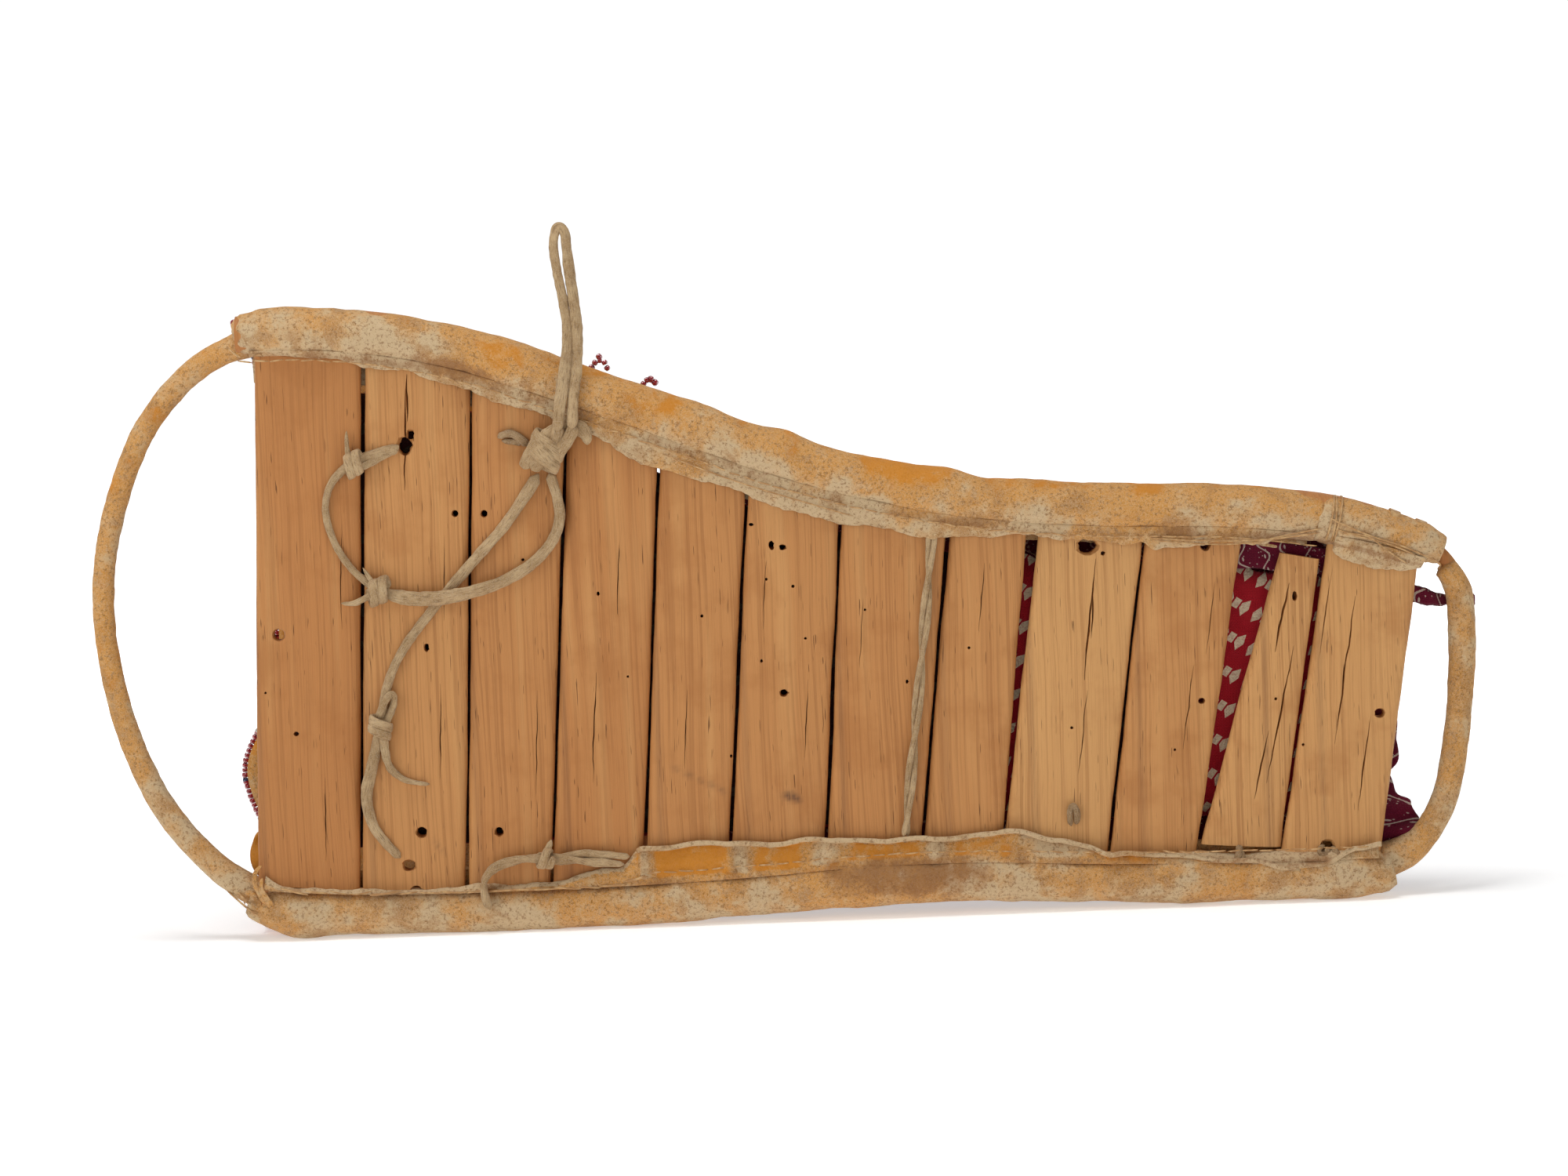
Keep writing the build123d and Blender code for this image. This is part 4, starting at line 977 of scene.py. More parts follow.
def rolled_edge(s, a, place):
    thick = 0.75 + 0.2 * easing(place.x, *EDGE_LIFTS)
    return (thick * math.cos(a) * (1 + 0.2 * lump(s, a, 0, 3, 8)),
            (1.0 + 0.2 * lump(s, 0, a, 4, 9)) * math.sin(a))


lower_edge = skin("lower_hem_edge", edge_line, rolled_edge, 10, Y_FACING)
lower_hide = join("lower_rail_hide", lower_tube_skin, lower_hem_skin, lower_front_hem, lower_edge)


def lower_ochre(p):
    """Ochre panels on the standing hem between grey pleats, and drifts on the tube."""
    high = p.z - lower_height(p.x)
    drift = 0.2 * lump(p.x, p.y, p.z, 34, 6) + 0.22 * lump(p.x, p.y, p.z, 9, 7)
    if high > lower_reach(p.x) - 1.4 and p.y < -3:
        return 0.02
    if high > 8.6 and -58 < p.x < 130:
        grey = min(1.0, pleat(p.x, (-57, 5, 1), (-20, 5, 1), (12, 9, 1), (55, 6, 1), (100, 26, 0.8)))
        return 1.3 - 1.25 * grey + drift * 0.4
    along = easing(p.x, (-204, -0.12), (-120, 0.02), (-40, 0.12), (40, 0.06), (110, 0.05), (226, 0.02))
    return 0.44 + along + 0.012 * high + drift


def lower_stain_and_crease_shade(p):
    """The brown stain on the back of the tube, left of its middle, and painted shade in the crease where the tube
    turns into its hem.
    """
    high = p.z - lower_height(p.x)
    along = easing(p.x, (4, 0.0), (16, 0.8), (40, 1.0), (70, 0.8), (86, 0.0))
    across = easing(high, (-8, 0.35), (-3, 0.8), (4, 1.0), (8.5, 0.7), (11, 0.0))
    crease = 0.6 * easing(high, (2.5, 0.0), (6.0, 1.0), (8.5, 0.7), (10.5, 0.0))
    crease *= 0.8 + 0.5 * lump(p.x, 0, 0, 18, 33)
    return max(along * across, crease) if p.y < 2 else 0.0


paint(lower_hide, "ochre", lower_ochre)
paint(lower_hide, "stain", lower_stain_and_crease_shade)
ready(lower_hide, "frame", "ochre_hide", ochre_hide, "lower_rail_cover")
print("lower hide", len(lower_hide.data.polygons), "faces")

# %% The foot corner and the sleeves
def foot_tube(s, a, place):
    start = easing(s, (0, 0.0), (3, 1.0))
    radius = 9.3 * easing(place.x, (204, 0.93), (210, 1.0), (230, 0.93), (243, 0.86), (250, 0.66), (254, 0.4))
    radius += wrinkles(a, place, 4.0, 0.5) + 0.5 * math.sin(s / 2.7 + 2 * a) * (1 - start)
    return radius * math.cos(a), radius * math.sin(a)


foot_corner = skin("foot_corner_tube", part_of(upper_line, 203.5, 252), foot_tube, 48, Y_FACING)
gusset = hem("foot_gusset", part_of(upper_line, 210, 247), lambda x: -5.0,
             lambda x: -easing(x, (208, 9.5), (216, 13.5), (228, 14.6), (238, 12.5), (246, 9.0)),
             lambda x, share: -(4.6 + 3.4 * (1 - share) + 1.8 * share * abs(math.sin(x / 3.4))),
             1.7, 65.0, 1.0, 0.9)
foot_hide = join("upper_foot_hide", foot_corner, gusset)
paint(foot_hide, "ochre", lambda p: 0.36 + 0.025 * (p.z - upper_height(p.x)) + 0.3 * lump(*p, 12, 9))
# Painted shade in the crease under the foot tube, where it meets the gusset, and darker lumps.
paint(foot_hide, "stain", lambda p: 0.75 * bump_at(p.z - upper_height(p.x), -8.8, 1.6)
      + 0.5 * max(0.0, lump(*p, 9, 17)))
ready(foot_hide, "frame", "ochre_hide", ochre_hide, "upper_foot_cover")


def sleeve_shape(size, seed):
    def shape(s, a, place):
        total = size[-1][0]
        radius = easing(s, *size) + 0.35 * lump(s, 4 * math.cos(a), 4 * math.sin(a), 9, seed)
        radius += 0.2 * lump(s, 3 * math.cos(a), 3 * math.sin(a), 2.6, seed + 1)
        radius *= min(1.0, 0.5 + min(s, total - s) / 2.4) if 0 <= s <= total else 0.5
        return radius * math.cos(a), radius * math.sin(a)
    return shape


head_part = [p for p in head_line if drawn(p).x < -198.5]
head_total = length_of(head_part) / MM
head_sleeve = skin("head_sleeve", head_part, sleeve_shape(
    ((0, 5.6), (12, 4.7), (60, 4.3), (130, 4.1), (190, 4.5), (225, 4.9), (head_total, 5.8)), 71.0), 32, Y_FACING)
paint(head_sleeve, "ochre", lambda p: 0.46 + 0.28 * lump(*p, 26, 12) + 0.18 * lump(*p, 7, 13)
      + easing(p.z, (10, -0.16), (70, -0.06), (120, 0.12), (190, 0.14), (232, -0.04)))
paint(head_sleeve, "stain", lambda p: 0.0)
ready(head_sleeve, "frame", "ochre_hide", ochre_hide, "head_bow_sleeve")

foot_part = [p for p in foot_line if drawn(p).x > 224 and drawn(p).z < 127.0]
foot_part = [p for p in foot_part if drawn(p).z < 120 or drawn(p).x > 250]
foot_total = length_of(foot_part) / MM
foot_sleeve = skin("foot_sleeve", foot_part, sleeve_shape(
    ((0, 7.4), (8, 6.6), (22, 5.2), (60, 4.9), (foot_total - 14, 5.2), (foot_total, 4.6)), 73.0), 32, Y_FACING)
paint(foot_sleeve, "ochre", lambda p: 0.40 + 0.25 * lump(*p, 24, 15) + 0.2 * lump(*p, 7, 16))
paint(foot_sleeve, "stain", lambda p: 0.0)
ready(foot_sleeve, "frame", "ochre_hide", ochre_hide, "foot_bow_sleeve")
print("foot corner and sleeves", round(head_total), "and", round(foot_total), "mm")

# %% [markdown]
# ## Stitches, beads and wraps
# Sinew stitches, beads and lashings are one small shape repeated along a line. A Geometry Nodes tree does that:
# it spaces points along the line, turns each shape along the line with its top facing outwards, varies it a
# little by a fixed seed, and makes it all real geometry with a material.

# %% The tree that repeats a shape along a line
def geometry_tree(name, inputs):
    tree = bpy.data.node_groups.new(name, "GeometryNodeTree")
    tree.interface.new_socket("Geometry", in_out="INPUT", socket_type="NodeSocketGeometry")
    for label, (kind, value) in inputs.items():
        socket = tree.interface.new_socket(label, in_out="INPUT", socket_type="NodeSocket" + kind)
        if value is not None:
            socket.default_value = value
    tree.interface.new_socket("Geometry", in_out="OUTPUT", socket_type="NodeSocketGeometry")
    return tree, tree.nodes.new("NodeGroupInput").outputs, tree.nodes.new("NodeGroupOutput").inputs


along_tree, give, take = geometry_tree("along_a_line", {
    "Shape": ("Object", None), "Spacing": ("Float", 0.004), "Size": ("Float", 1.0), "Size Change": ("Float", 0.1),
    "Turn Change": ("Float", 0.15), "Outwards": ("Vector", (0.0, -1.0, 0.0)), "Seed": ("Int", 1),
    "Material": ("Material", None)})
t = along_tree
as_curve = put(t, "GeometryNodeMeshToCurve", Mesh=give["Geometry"])
spots = put(t, "GeometryNodeCurveToPoints", {"mode": "LENGTH"}, Curve=as_curve.outputs[0], Length=give["Spacing"])
along = put(t, "FunctionNodeAlignRotationToVector", {"axis": "X"}, Vector=spots.outputs["Tangent"])
outward = put(t, "FunctionNodeAlignRotationToVector", {"axis": "Z", "pivot_axis": "X"}, Rotation=along.outputs[0],
              Vector=give["Outwards"])
most = put(t, "ShaderNodeCombineXYZ", X=give["Turn Change"], Y=give["Turn Change"], Z=give["Turn Change"])
least = put(t, "ShaderNodeVectorMath", {"operation": "SCALE"}, i0=most.outputs[0], Scale=-1.0)
turned = put(t, "FunctionNodeRandomValue", {"data_type": "FLOAT_VECTOR"}, i0=least.outputs[0], i1=most.outputs[0],
             Seed=give["Seed"])
wobble = put(t, "FunctionNodeEulerToRotation", Euler=turned.outputs[0])
both = put(t, "FunctionNodeRotateRotation", {"rotation_space": "LOCAL"}, Rotation=outward.outputs[0])
t.links.new(wobble.outputs[0], both.inputs[1])
low = put(t, "ShaderNodeMath", {"operation": "SUBTRACT"}, i0=give["Size"], i1=give["Size Change"])
high = put(t, "ShaderNodeMath", {"operation": "ADD"}, i0=give["Size"], i1=give["Size Change"])
sizes = put(t, "FunctionNodeRandomValue", {"data_type": "FLOAT"}, i2=low.outputs[0], i3=high.outputs[0],
            Seed=give["Seed"])
shape = put(t, "GeometryNodeObjectInfo", Object=give["Shape"])
placed = put(t, "GeometryNodeInstanceOnPoints", Points=spots.outputs[0], Instance=shape.outputs["Geometry"],
             Rotation=both.outputs[0], Scale=sizes.outputs[1])
real = put(t, "GeometryNodeRealizeInstances", Geometry=placed.outputs[0])
finished = put(t, "GeometryNodeSetMaterial", Geometry=real.outputs[0], Material=give["Material"])
t.links.new(finished.outputs[0], take[0])


def settled(piece):
    """A plain mesh of a piece as its modifiers leave it."""
    graph = bpy.context.evaluated_depsgraph_get()
    return bpy.data.meshes.new_from_object(piece.evaluated_get(graph), depsgraph=graph)


def run_tree(name, tree, mesh, **values):
    """Runs a tree on a mesh with its named inputs, and gives the result as a plain piece."""
    holder = link_piece(name + "_holder", mesh)
    modifier = holder.modifiers.new("made", "NODES")
    modifier.node_group = tree
    names = {item.name: item.identifier for item in tree.interface.items_tree if item.in_out == "INPUT"}
    for label, value in values.items():
        modifier[names[label.replace("_", " ")]] = value
    holder.update_tag()
    made = settled(holder)
    bpy.data.objects.remove(holder)
    return link_piece(name, made)


def line_mesh(*lines):
    points, edges = [], []
    for line in lines:
        first = len(points)
        points += line
        edges += [(first + i, first + i + 1) for i in range(len(line) - 1)]
    mesh = bpy.data.meshes.new("line")
    mesh.from_pydata([tuple(p) for p in points], edges, [])
    return mesh


def pattern(piece):
    """Keeps a shape out of sight, for a tree to repeat."""
    piece.hide_render = piece.hide_viewport = True
    bpy.context.collection.objects.unlink(piece)
    return piece


def stitch_shape(name, long, thick):
    """A short bowed thread whose ends go into the hide."""
    line = [Vector((x * long / 2, 0, (1 - x * x) * thick * 0.9 - thick * 0.35)) * MM for x in (-1, -0.6, 0, 0.6, 1)]
    rows = [[p + Vector((0, math.cos(a), math.sin(a))) * (thick / 2 * w * MM)
             for a in round_angles(6)] for p, w in zip(line, (0.5, 1, 1, 1, 0.5))]
    return pattern(surface(name, rows, around=True, capped=True))


def bead_shape(name, outer, hole):
    """A small glass ring with its hole along the thread."""
    rows = []
    thick = (outer - hole) / 2
    for b in steps(0.0, 2 * math.pi, 6):
        radius = (hole + thick) * 0.5 + thick / 2 * math.cos(b)
        rows.append([Vector((thick * 1.05 * math.sin(b), radius * math.sin(a), radius * math.cos(a))) * MM
                     for a in round_angles(9)])
    return pattern(surface(name, rows, around=True))


def ring_shape(name, radius, wide, thick, start=0.0, finish=2 * math.pi):
    """A turn of flat sinew or hide round a tube of a radius, from one angle to another."""
    rows = []
    for i in range(25):
        a = start + (finish - start) * i / 24
        out = Vector((0, math.cos(a), math.sin(a)))
        rows.append([(out * (radius + v * thick / 2) + Vector((u * wide / 2, 0, 0))) * MM
                     for u, v in ((-1, 0), (-0.6, 1), (0.6, 1), (1, 0), (0.6, -1), (-0.6, -1))])
    return pattern(surface(name, rows, around=True, capped=True))


print("along_a_line", len(along_tree.nodes), "nodes")

# %% [markdown]
# ## The slats
# The slats were split and whittled from soft straight-grained wood, so no two are alike: each has its own width
# and lean, a slightly crowned back, rounded long edges that wander with the knife, and its own holes. They follow
# one rule, so one Geometry Nodes tree makes them all from a block. Holes and cracks are cut afterwards.

# %% The slat tree
slat_tree, give, take = geometry_tree("split_slat", {
    "Foot Left": ("Vector", (0.0, 0.0, 0.0)), "Foot Right": ("Vector", (0.03, 0.0, 0.0)),
    "Top Left": ("Vector", (0.0, 0.0, 0.2)), "Top Right": ("Vector", (0.03, 0.0, 0.2)),
    "Thickness": ("Float", 0.0055), "Crown": ("Float", 0.0008), "Edge": ("Float", 0.13),
    "Wander": ("Float", 0.0005), "Across": ("Int", 34), "Along": ("Int", 110), "Seed": ("Float", 1.0)})
t = slat_tree


block = put(t, "GeometryNodeMeshCube", Size=(1.0, 1.0, 1.0), Vertices_X=give["Across"], Vertices_Y=5,
            Vertices_Z=give["Along"])
spot = put(t, "ShaderNodeSeparateXYZ", Vector=put(t, "GeometryNodeInputPosition").outputs[0]).outputs
even_u = calc(t, "ADD", spot[0], 0.5)
crowded_u = calc(t, "MULTIPLY_ADD", calc(t, "SINE", times(t, spot[0], math.pi)), 0.5, 0.5)
u = calc(t, "MULTIPLY_ADD", minus(t, crowded_u, even_u), 0.75, even_u)
v = calc(t, "ADD", spot[2], 0.5)


def between(share, a, b):
    """A place between two others."""
    return put(t, "ShaderNodeMix", {"data_type": "VECTOR"}, i0=share, i4=a, i5=b).outputs[1]


foot_row = between(u, give["Foot Left"], give["Foot Right"])
top_row = between(u, give["Top Left"], give["Top Right"])
flat_spot = between(v, foot_row, top_row)
side = times(t, minus(t, u, 0.5), 2.0)
from_edge = calc(t, "MINIMUM", u, minus(t, 1.0, u))
near_edge = calc(t, "MINIMUM", calc(t, "DIVIDE", from_edge, give["Edge"]), 1.0)
inward = minus(t, 1.0, near_edge)
fullness = calc(t, "SQRT", calc(t, "MAXIMUM", minus(t, 1.0, times(t, inward, inward)), 0.02))
where = put(t, "ShaderNodeCombineXYZ", X=times(t, side, 1.6), Y=give["Seed"],
            Z=times(t, v, 3.4)).outputs[0]
waver = minus(t, speckle(t, where, 1.0, 4.0, 0.55), 0.5)
fine_where = put(t, "ShaderNodeCombineXYZ", X=times(t, side, 9.0), Y=give["Seed"],
                 Z=times(t, v, 5.0)).outputs[0]
ridges = minus(t, speckle(t, fine_where, 1.0, 3.0, 0.6), 0.5)
sideways = times(t, times(t, waver, give["Wander"]), 6.0)
crown = times(t, minus(t, 1.0, times(t, side, side)), give["Crown"])
half_y = times(t, times(t, spot[1], give["Thickness"]), fullness)
back_share = minus(t, 0.5, spot[1])
bulge = times(t, back_share, calc(t, "MULTIPLY_ADD", ridges, 0.00045, crown))
deep = minus(t, half_y, bulge)
shift = put(t, "ShaderNodeCombineXYZ", X=sideways, Y=deep, Z=0.0).outputs[0]
moved = put(t, "ShaderNodeVectorMath", {"operation": "ADD"}, i0=flat_spot, i1=shift).outputs[0]
shaped = put(t, "GeometryNodeSetPosition", Geometry=block.outputs[0], Position=moved)
t.links.new(shaped.outputs[0], take[0])
print("split_slat", len(slat_tree.nodes), "nodes")

# %% Holes and cracks to cut
def hole_cutter(x, z, radius, seed, ragged=0.12, long=1.0):
    """A rough bore right through a slat."""
    rows = []
    for y in (-6.0, -4.2, -2.0, 1.0, 3.4):
        flare = 1 + 0.16 * max(0.0, -y - 2.4)
        row = []
        for a in round_angles(14):
            across = radius * flare * (1 + ragged * lump(9 * math.cos(a), y, 9 * math.sin(a), 5, seed))
            along = radius * long * flare * (1 + ragged * lump(7 * math.sin(a), y, 4, 3, seed))
            row.append(at(x + across * math.cos(a), y, z + along * math.sin(a)))
        rows.append(row)
    return surface("cutter", rows[::-1], around=True, capped=True)


def crack_cutter(x, z0, z1, wide, lean, seed):
    """A thin wavy wedge along the grain, widest in the middle."""
    rows, deep, count = [], 2.2, max(6, int((z1 - z0) / 3))
    for i in range(count + 1):
        share = i / count
        z = z0 + (z1 - z0) * share
        middle = (x + (z - z0) * math.tan(math.radians(lean)) + 0.5 * lump(0, z, 0, 9, seed)
                  + 0.25 * lump(0, z, 5, 3, seed))
        half = wide / 2 * math.sin(math.pi * min(0.97, max(0.03, share))) ** 0.6
        half *= 1 + 0.5 * lump(3, z, 0, 4, seed)
        floor_y = -3.0 + deep * math.sin(math.pi * min(0.95, max(0.05, share)))
        rows.append([at(middle - half, -5.0, z), at(middle, floor_y, z), at(middle + half, -5.0, z)])
    return surface("cutter", rows[::-1], around=True, capped=True)


WORM, TIE = 1.15, 2.1
SLAT_HOLES = {
    1: ((-192, 117, TIE, 0.12, 1.0), (-187, 79, 0.8, 0.3, 1.0), (-198, 95, 0.4, 0.2, 1.0)),
    2: ((-141, 187, 2.3, 0.55, 1.5), (-138.6, 190.5, 1.2, 0.5, 1.6), (-123, 160.5, WORM, 0.1, 1.0),
        (-136, 110, 0.9, 0.4, 1.5), (-141, 39.5, 2.0, 0.25, 0.9), (-146.5, 27, 2.3, 0.3, 0.9),
        (-144, 17.5, 1.9, 0.3, 0.7)),
    3: ((-112, 160, WORM, 0.1, 1.1), (-111.5, 38.5, 1.5, 0.2, 1.0), (-98, 142, 0.5, 0.2, 1.0)),
    4: ((-70, 128, 0.5, 0.3, 1.3), (-60, 96, 0.4, 0.2, 1.0)),
    5: ((-31, 118, 0.5, 0.2, 1.0), (-22, 64, 0.45, 0.2, 1.4)),
    6: ((-3.5, 144, 1.1, 0.6, 1.3), (0.5, 143, 1.2, 0.5, 0.9), (-1, 87.5, 1.45, 0.3, 0.8), (-11, 152, 0.9, 0.3, 0.6),
        (4, 128, 0.5, 0.2, 1.0), (8, 108, 0.45, 0.2, 1.0), (-6, 131, 0.45, 0.2, 1.0), (-9, 100, 0.45, 0.2, 1.2)),
    7: ((31, 118, 0.4, 0.2, 1.0), (46, 90, 0.5, 0.3, 1.2)),
    8: ((70, 102, 0.45, 0.2, 1.0),),
    9: ((116.2, 139.0, 3.7, 0.3, 0.75), (122, 136, 0.7, 0.3, 1.0), (108, 70, 0.5, 0.3, 1.0)),
    10: ((161, 137.5, 1.7, 0.2, 1.0), (157.8, 78.3, WORM, 0.15, 0.9), (147, 60, 0.4, 0.2, 1.0)),
    11: ((194.3, 117, 0.8, 0.3, 2.2), (186, 78, 0.45, 0.3, 1.0)),
    12: ((225.5, 71, 1.8, 0.25, 0.85), (222, 133, 1.9, 0.3, 0.7), (204, 20, 2.6, 0.35, 1.1),
         (205.5, 17, 1.8, 0.3, 1.0), (196, 60, 0.5, 0.2, 1.0))}
SLAT_CRACKS = {
    1: ((-168, 118, 158, 0.5, 2.5), (-178, 30, 62, 0.4, 2.4)),
    2: ((-141.5, 170, 208, 0.8, 2.8), (-133, 60, 96, 0.5, 2.8), (-129, 120, 152, 0.4, 2.8),
        (-139.5, 196, 214, 1.0, 2.0)),
    3: ((-97, 52, 92, 0.45, 3.4),),
    4: ((-75, 56, 98, 0.5, 4.2), (-63, 120, 148, 0.4, 4.2)),
    5: ((-40, 60, 90, 0.4, 4.6),),
    6: ((6, 62, 92, 0.45, 4.6), (-8, 112, 138, 0.4, 4.6)),
    7: ((45, 40, 74, 0.45, 5.5), (28, 96, 122, 0.4, 5.0)),
    8: ((82, 44, 76, 0.45, 6.4), (74, 108, 134, 0.4, 6.4)),
    9: ((113.5, 88, 134, 0.9, 7.0), (110, 52, 84, 0.5, 8.0), (116.5, 104, 124, 0.7, 5.0)),
    10: ((150, 60, 92, 0.45, 9.0), (160, 96, 124, 0.4, 9.0)),
    11: ((186.2, 96, 122, 1.0, 13.0), (181.5, 46, 98, 0.8, 13.0), (176.5, 40, 66, 0.7, 14.0)),
    12: ((208, 60, 116, 0.8, 9.4), (216, 34, 70, 0.6, 9.4), (203, 92, 128, 0.5, 9.4))}
print("holes in", len(SLAT_HOLES), "slats")

# %% The twelve slats
SLAT_SIZES = ((39.6, 1.2, 2.4, 2.8), (39.6, 1.2, 2.8, 2.9), (33.2, 1.2, 2.9, 4.2), (34.2, 1.2, 4.2, 4.3),
              (32.2, 1.2, 4.3, 4.8), (35.2, 1.2, 4.8, 4.7), (38.6, 1.2, 4.7, 6.6), (29.6, 3.4, 6.6, 6.3),
              (39.8, 1.2, 8.2, 8.2), (36.0, 12.2, 8.2, 9.9), (18.8, 2.0, 16.8, 9.3), (36.0, 0.0, 10.2, 8.8))
SLAT_TONES = ((0.2, 0.55), (0.5, 0.2), (0.3, 0.4), (0.22, 0.5), (0.34, 0.35), (0.36, 0.35), (0.3, 0.3), (0.4, 0.2),
              (0.95, 0.0), (0.45, 0.15), (0.85, 0.0), (0.8, 0.05))
SMUDGES = ((-43, 60, 1.5, 0.8, 0.5), (-38.5, 57.6, 1.8, 0.9, 0.6), (-34, 55.2, 1.2, 0.7, 0.6),
           (-30, 53.4, 1.8, 0.9, 0.5), (-26, 51.2, 1.2, 0.9, 0.6), (0.2, 47.8, 2.3, 1.0, 2.0),
           (2.6, 46.8, 1.3, 0.8, 1.7), (-135, 34, 0.9, 2.0, 0.5))
PALE_SLATS = (9, 11, 12)
LOOSE_SLAT = 11
LEVEL = 110.0
SHARP_EDGE = math.radians(42)


def slat_corner(level_x, lean, height, gap):
    """Where a slat's leaning edge meets a rail."""
    z = LEVEL
    for _ in range(8):
        x = level_x + (z - LEVEL) * math.tan(math.radians(lean))
        z = height(x) + gap
    return x, z


slat_x = -201.0
for number, ((wide, gap, lean_left, lean_right), (pale, red)) in enumerate(zip(SLAT_SIZES, SLAT_TONES), 1):
    edges = ((slat_x, lean_left), (slat_x + wide, lean_right))
    foot_gap, top_gap = (7.0 if slat_x < -60 else 7.4), -8.3
    feet = [slat_corner(*edge, lower_height, foot_gap) for edge in edges]
    tops = [slat_corner(*edge, upper_height, top_gap) for edge in edges]
    if number == LOOSE_SLAT:
        feet = [slat_corner(*edge, lower_height, foot) for edge, foot in zip(edges, (12.6, 10.8))]
        tops = [(x0 + (z - LEVEL) * math.tan(math.radians(lean)), z) for (x0, lean), z in zip(edges, (133.5, 130.5))]
    seat_y = -0.25
    blank = run_tree("slat_%02d_wood" % number, slat_tree, bpy.data.meshes.new("seed"),
                     Foot_Left=at(feet[0][0], seat_y, feet[0][1]), Foot_Right=at(feet[1][0], seat_y, feet[1][1]),
                     Top_Left=at(tops[0][0], seat_y, tops[0][1]), Top_Right=at(tops[1][0], seat_y, tops[1][1]),
                     Edge=min(0.4, 2.6 / wide), Crown=0.0010, Wander=0.00030, Seed=number * 3.7, Across=34, Along=120)
    cutters = [hole_cutter(x, z, r, number + k, ragged, long)
               for k, (x, z, r, ragged, long) in enumerate(SLAT_HOLES.get(number, ()))]
    cutters += [crack_cutter(x, z0, z1, w * 1.25, lean, number * 2 + k)
                for k, (x, z0, z1, w, lean) in enumerate(SLAT_CRACKS.get(number, ()))]
    for cutter in cutters:
        cut = blank.modifiers.new("cut", "BOOLEAN")
        cut.operation, cut.solver, cut.object = "DIFFERENCE", "EXACT", cutter
    made = settled(blank)
    bpy.data.objects.remove(blank)
    for cutter in cutters:
        bpy.data.objects.remove(cutter)
    made.polygons.foreach_set("use_smooth", [True] * len(made.polygons))
    made.set_sharp_from_angle(angle=SHARP_EDGE)
    slat = link_piece("slat_%02d_wood" % number, made)
    # Real smudges, and a painted shade line along the slat's left edge.
    paint(slat, "grime", lambda p: max([dark * bump_at(p.x + (p.z - z) * 0.55, x, w) * bump_at(p.z, z, h * 1.6)
                                        for x, z, w, h, dark in SMUDGES] + [0.35 * bump_at(p.x, slat_x, 1.2)]))
    ready(slat, "loose_slat" if number == LOOSE_SLAT else "frame",
          "pale_wood" if number in PALE_SLATS else "slat_wood",
          wood_material("slat_wood_%02d" % number, number * 0.37, pale, red), "slat_%02d" % number)
    print("slat", number, "foot", [round(v) for v in feet[0]], "top", [round(v) for v in tops[0]],
          len(made.polygons), "faces")
    slat_x += wide + gap

# %% [markdown]
# ## Seams, lashings and ties
# Sinew is dried tendon split into thread. It holds each hem with long running stitches, and is wound round the
# foot corner. The stitches and the turns are repeated by the tree above, and the few loose strands are skins.

# %% Sinew
def beside(line, away, y, x0, x1):
    """A line beside a rail, so many millimetres away in the board's plane, at a depth."""
    points = []
    for a, b in zip(line, line[2:]):
        if x0 <= drawn(a).x <= x1:
            run = (b - a).normalized()
            place = drawn(a)
            gap = away(place.x) + 0.35 * lump(place.x, 0, 0, 7, 3)
            points.append(at(place.x - run.z * gap, y(place.x), place.z + run.x * gap))
    return points


stitch = stitch_shape("stitch", 5.2, 0.62)
long_stitch = stitch_shape("long_stitch", 9.5, 0.75)
upper_seam = beside(upper_line, lambda x: -10.4, lambda x: -7.7, -200, 203)
lower_seam = beside(lower_line, lambda x: easing(x, (-70, 6.6), (-50, 10.6)),
                    lambda x: easing(x, (-70, -8.6), (-50, -8.4)), -192, 218)
upper_stitches = run_tree("upper_seam_stitches", along_tree, line_mesh(upper_seam), Shape=stitch, Spacing=0.0059,
                          Size_Change=0.15, Turn_Change=0.14, Seed=5, Material=sinew)
ready(upper_stitches, "frame", "sinew", sinew, "upper_seam_sinew")
lower_far = [p for p in lower_seam if drawn(p).x > -60]
lower_near = [p for p in lower_seam if drawn(p).x < -60]
lower_stitches = run_tree("lower_seam_stitches", along_tree, line_mesh(lower_far), Shape=stitch, Spacing=0.0061,
                          Size_Change=0.15, Turn_Change=0.14, Seed=6, Material=sinew)
ready(lower_stitches, "frame", "sinew", sinew, "lower_seam_sinew")
lower_long = run_tree("lower_long_stitches", along_tree, line_mesh(lower_near), Shape=long_stitch, Spacing=0.0082,
                      Size_Change=0.25, Turn_Change=0.2, Seed=7, Material=sinew)
ready(lower_long, "frame", "sinew", sinew)


def strand(points, wide, seed):
    line = drawn_line(points, 8)
    return thong_skin("w", line, lambda u: wide, lambda u: wide * 0.8, seed, sides=7, rough=0.1)


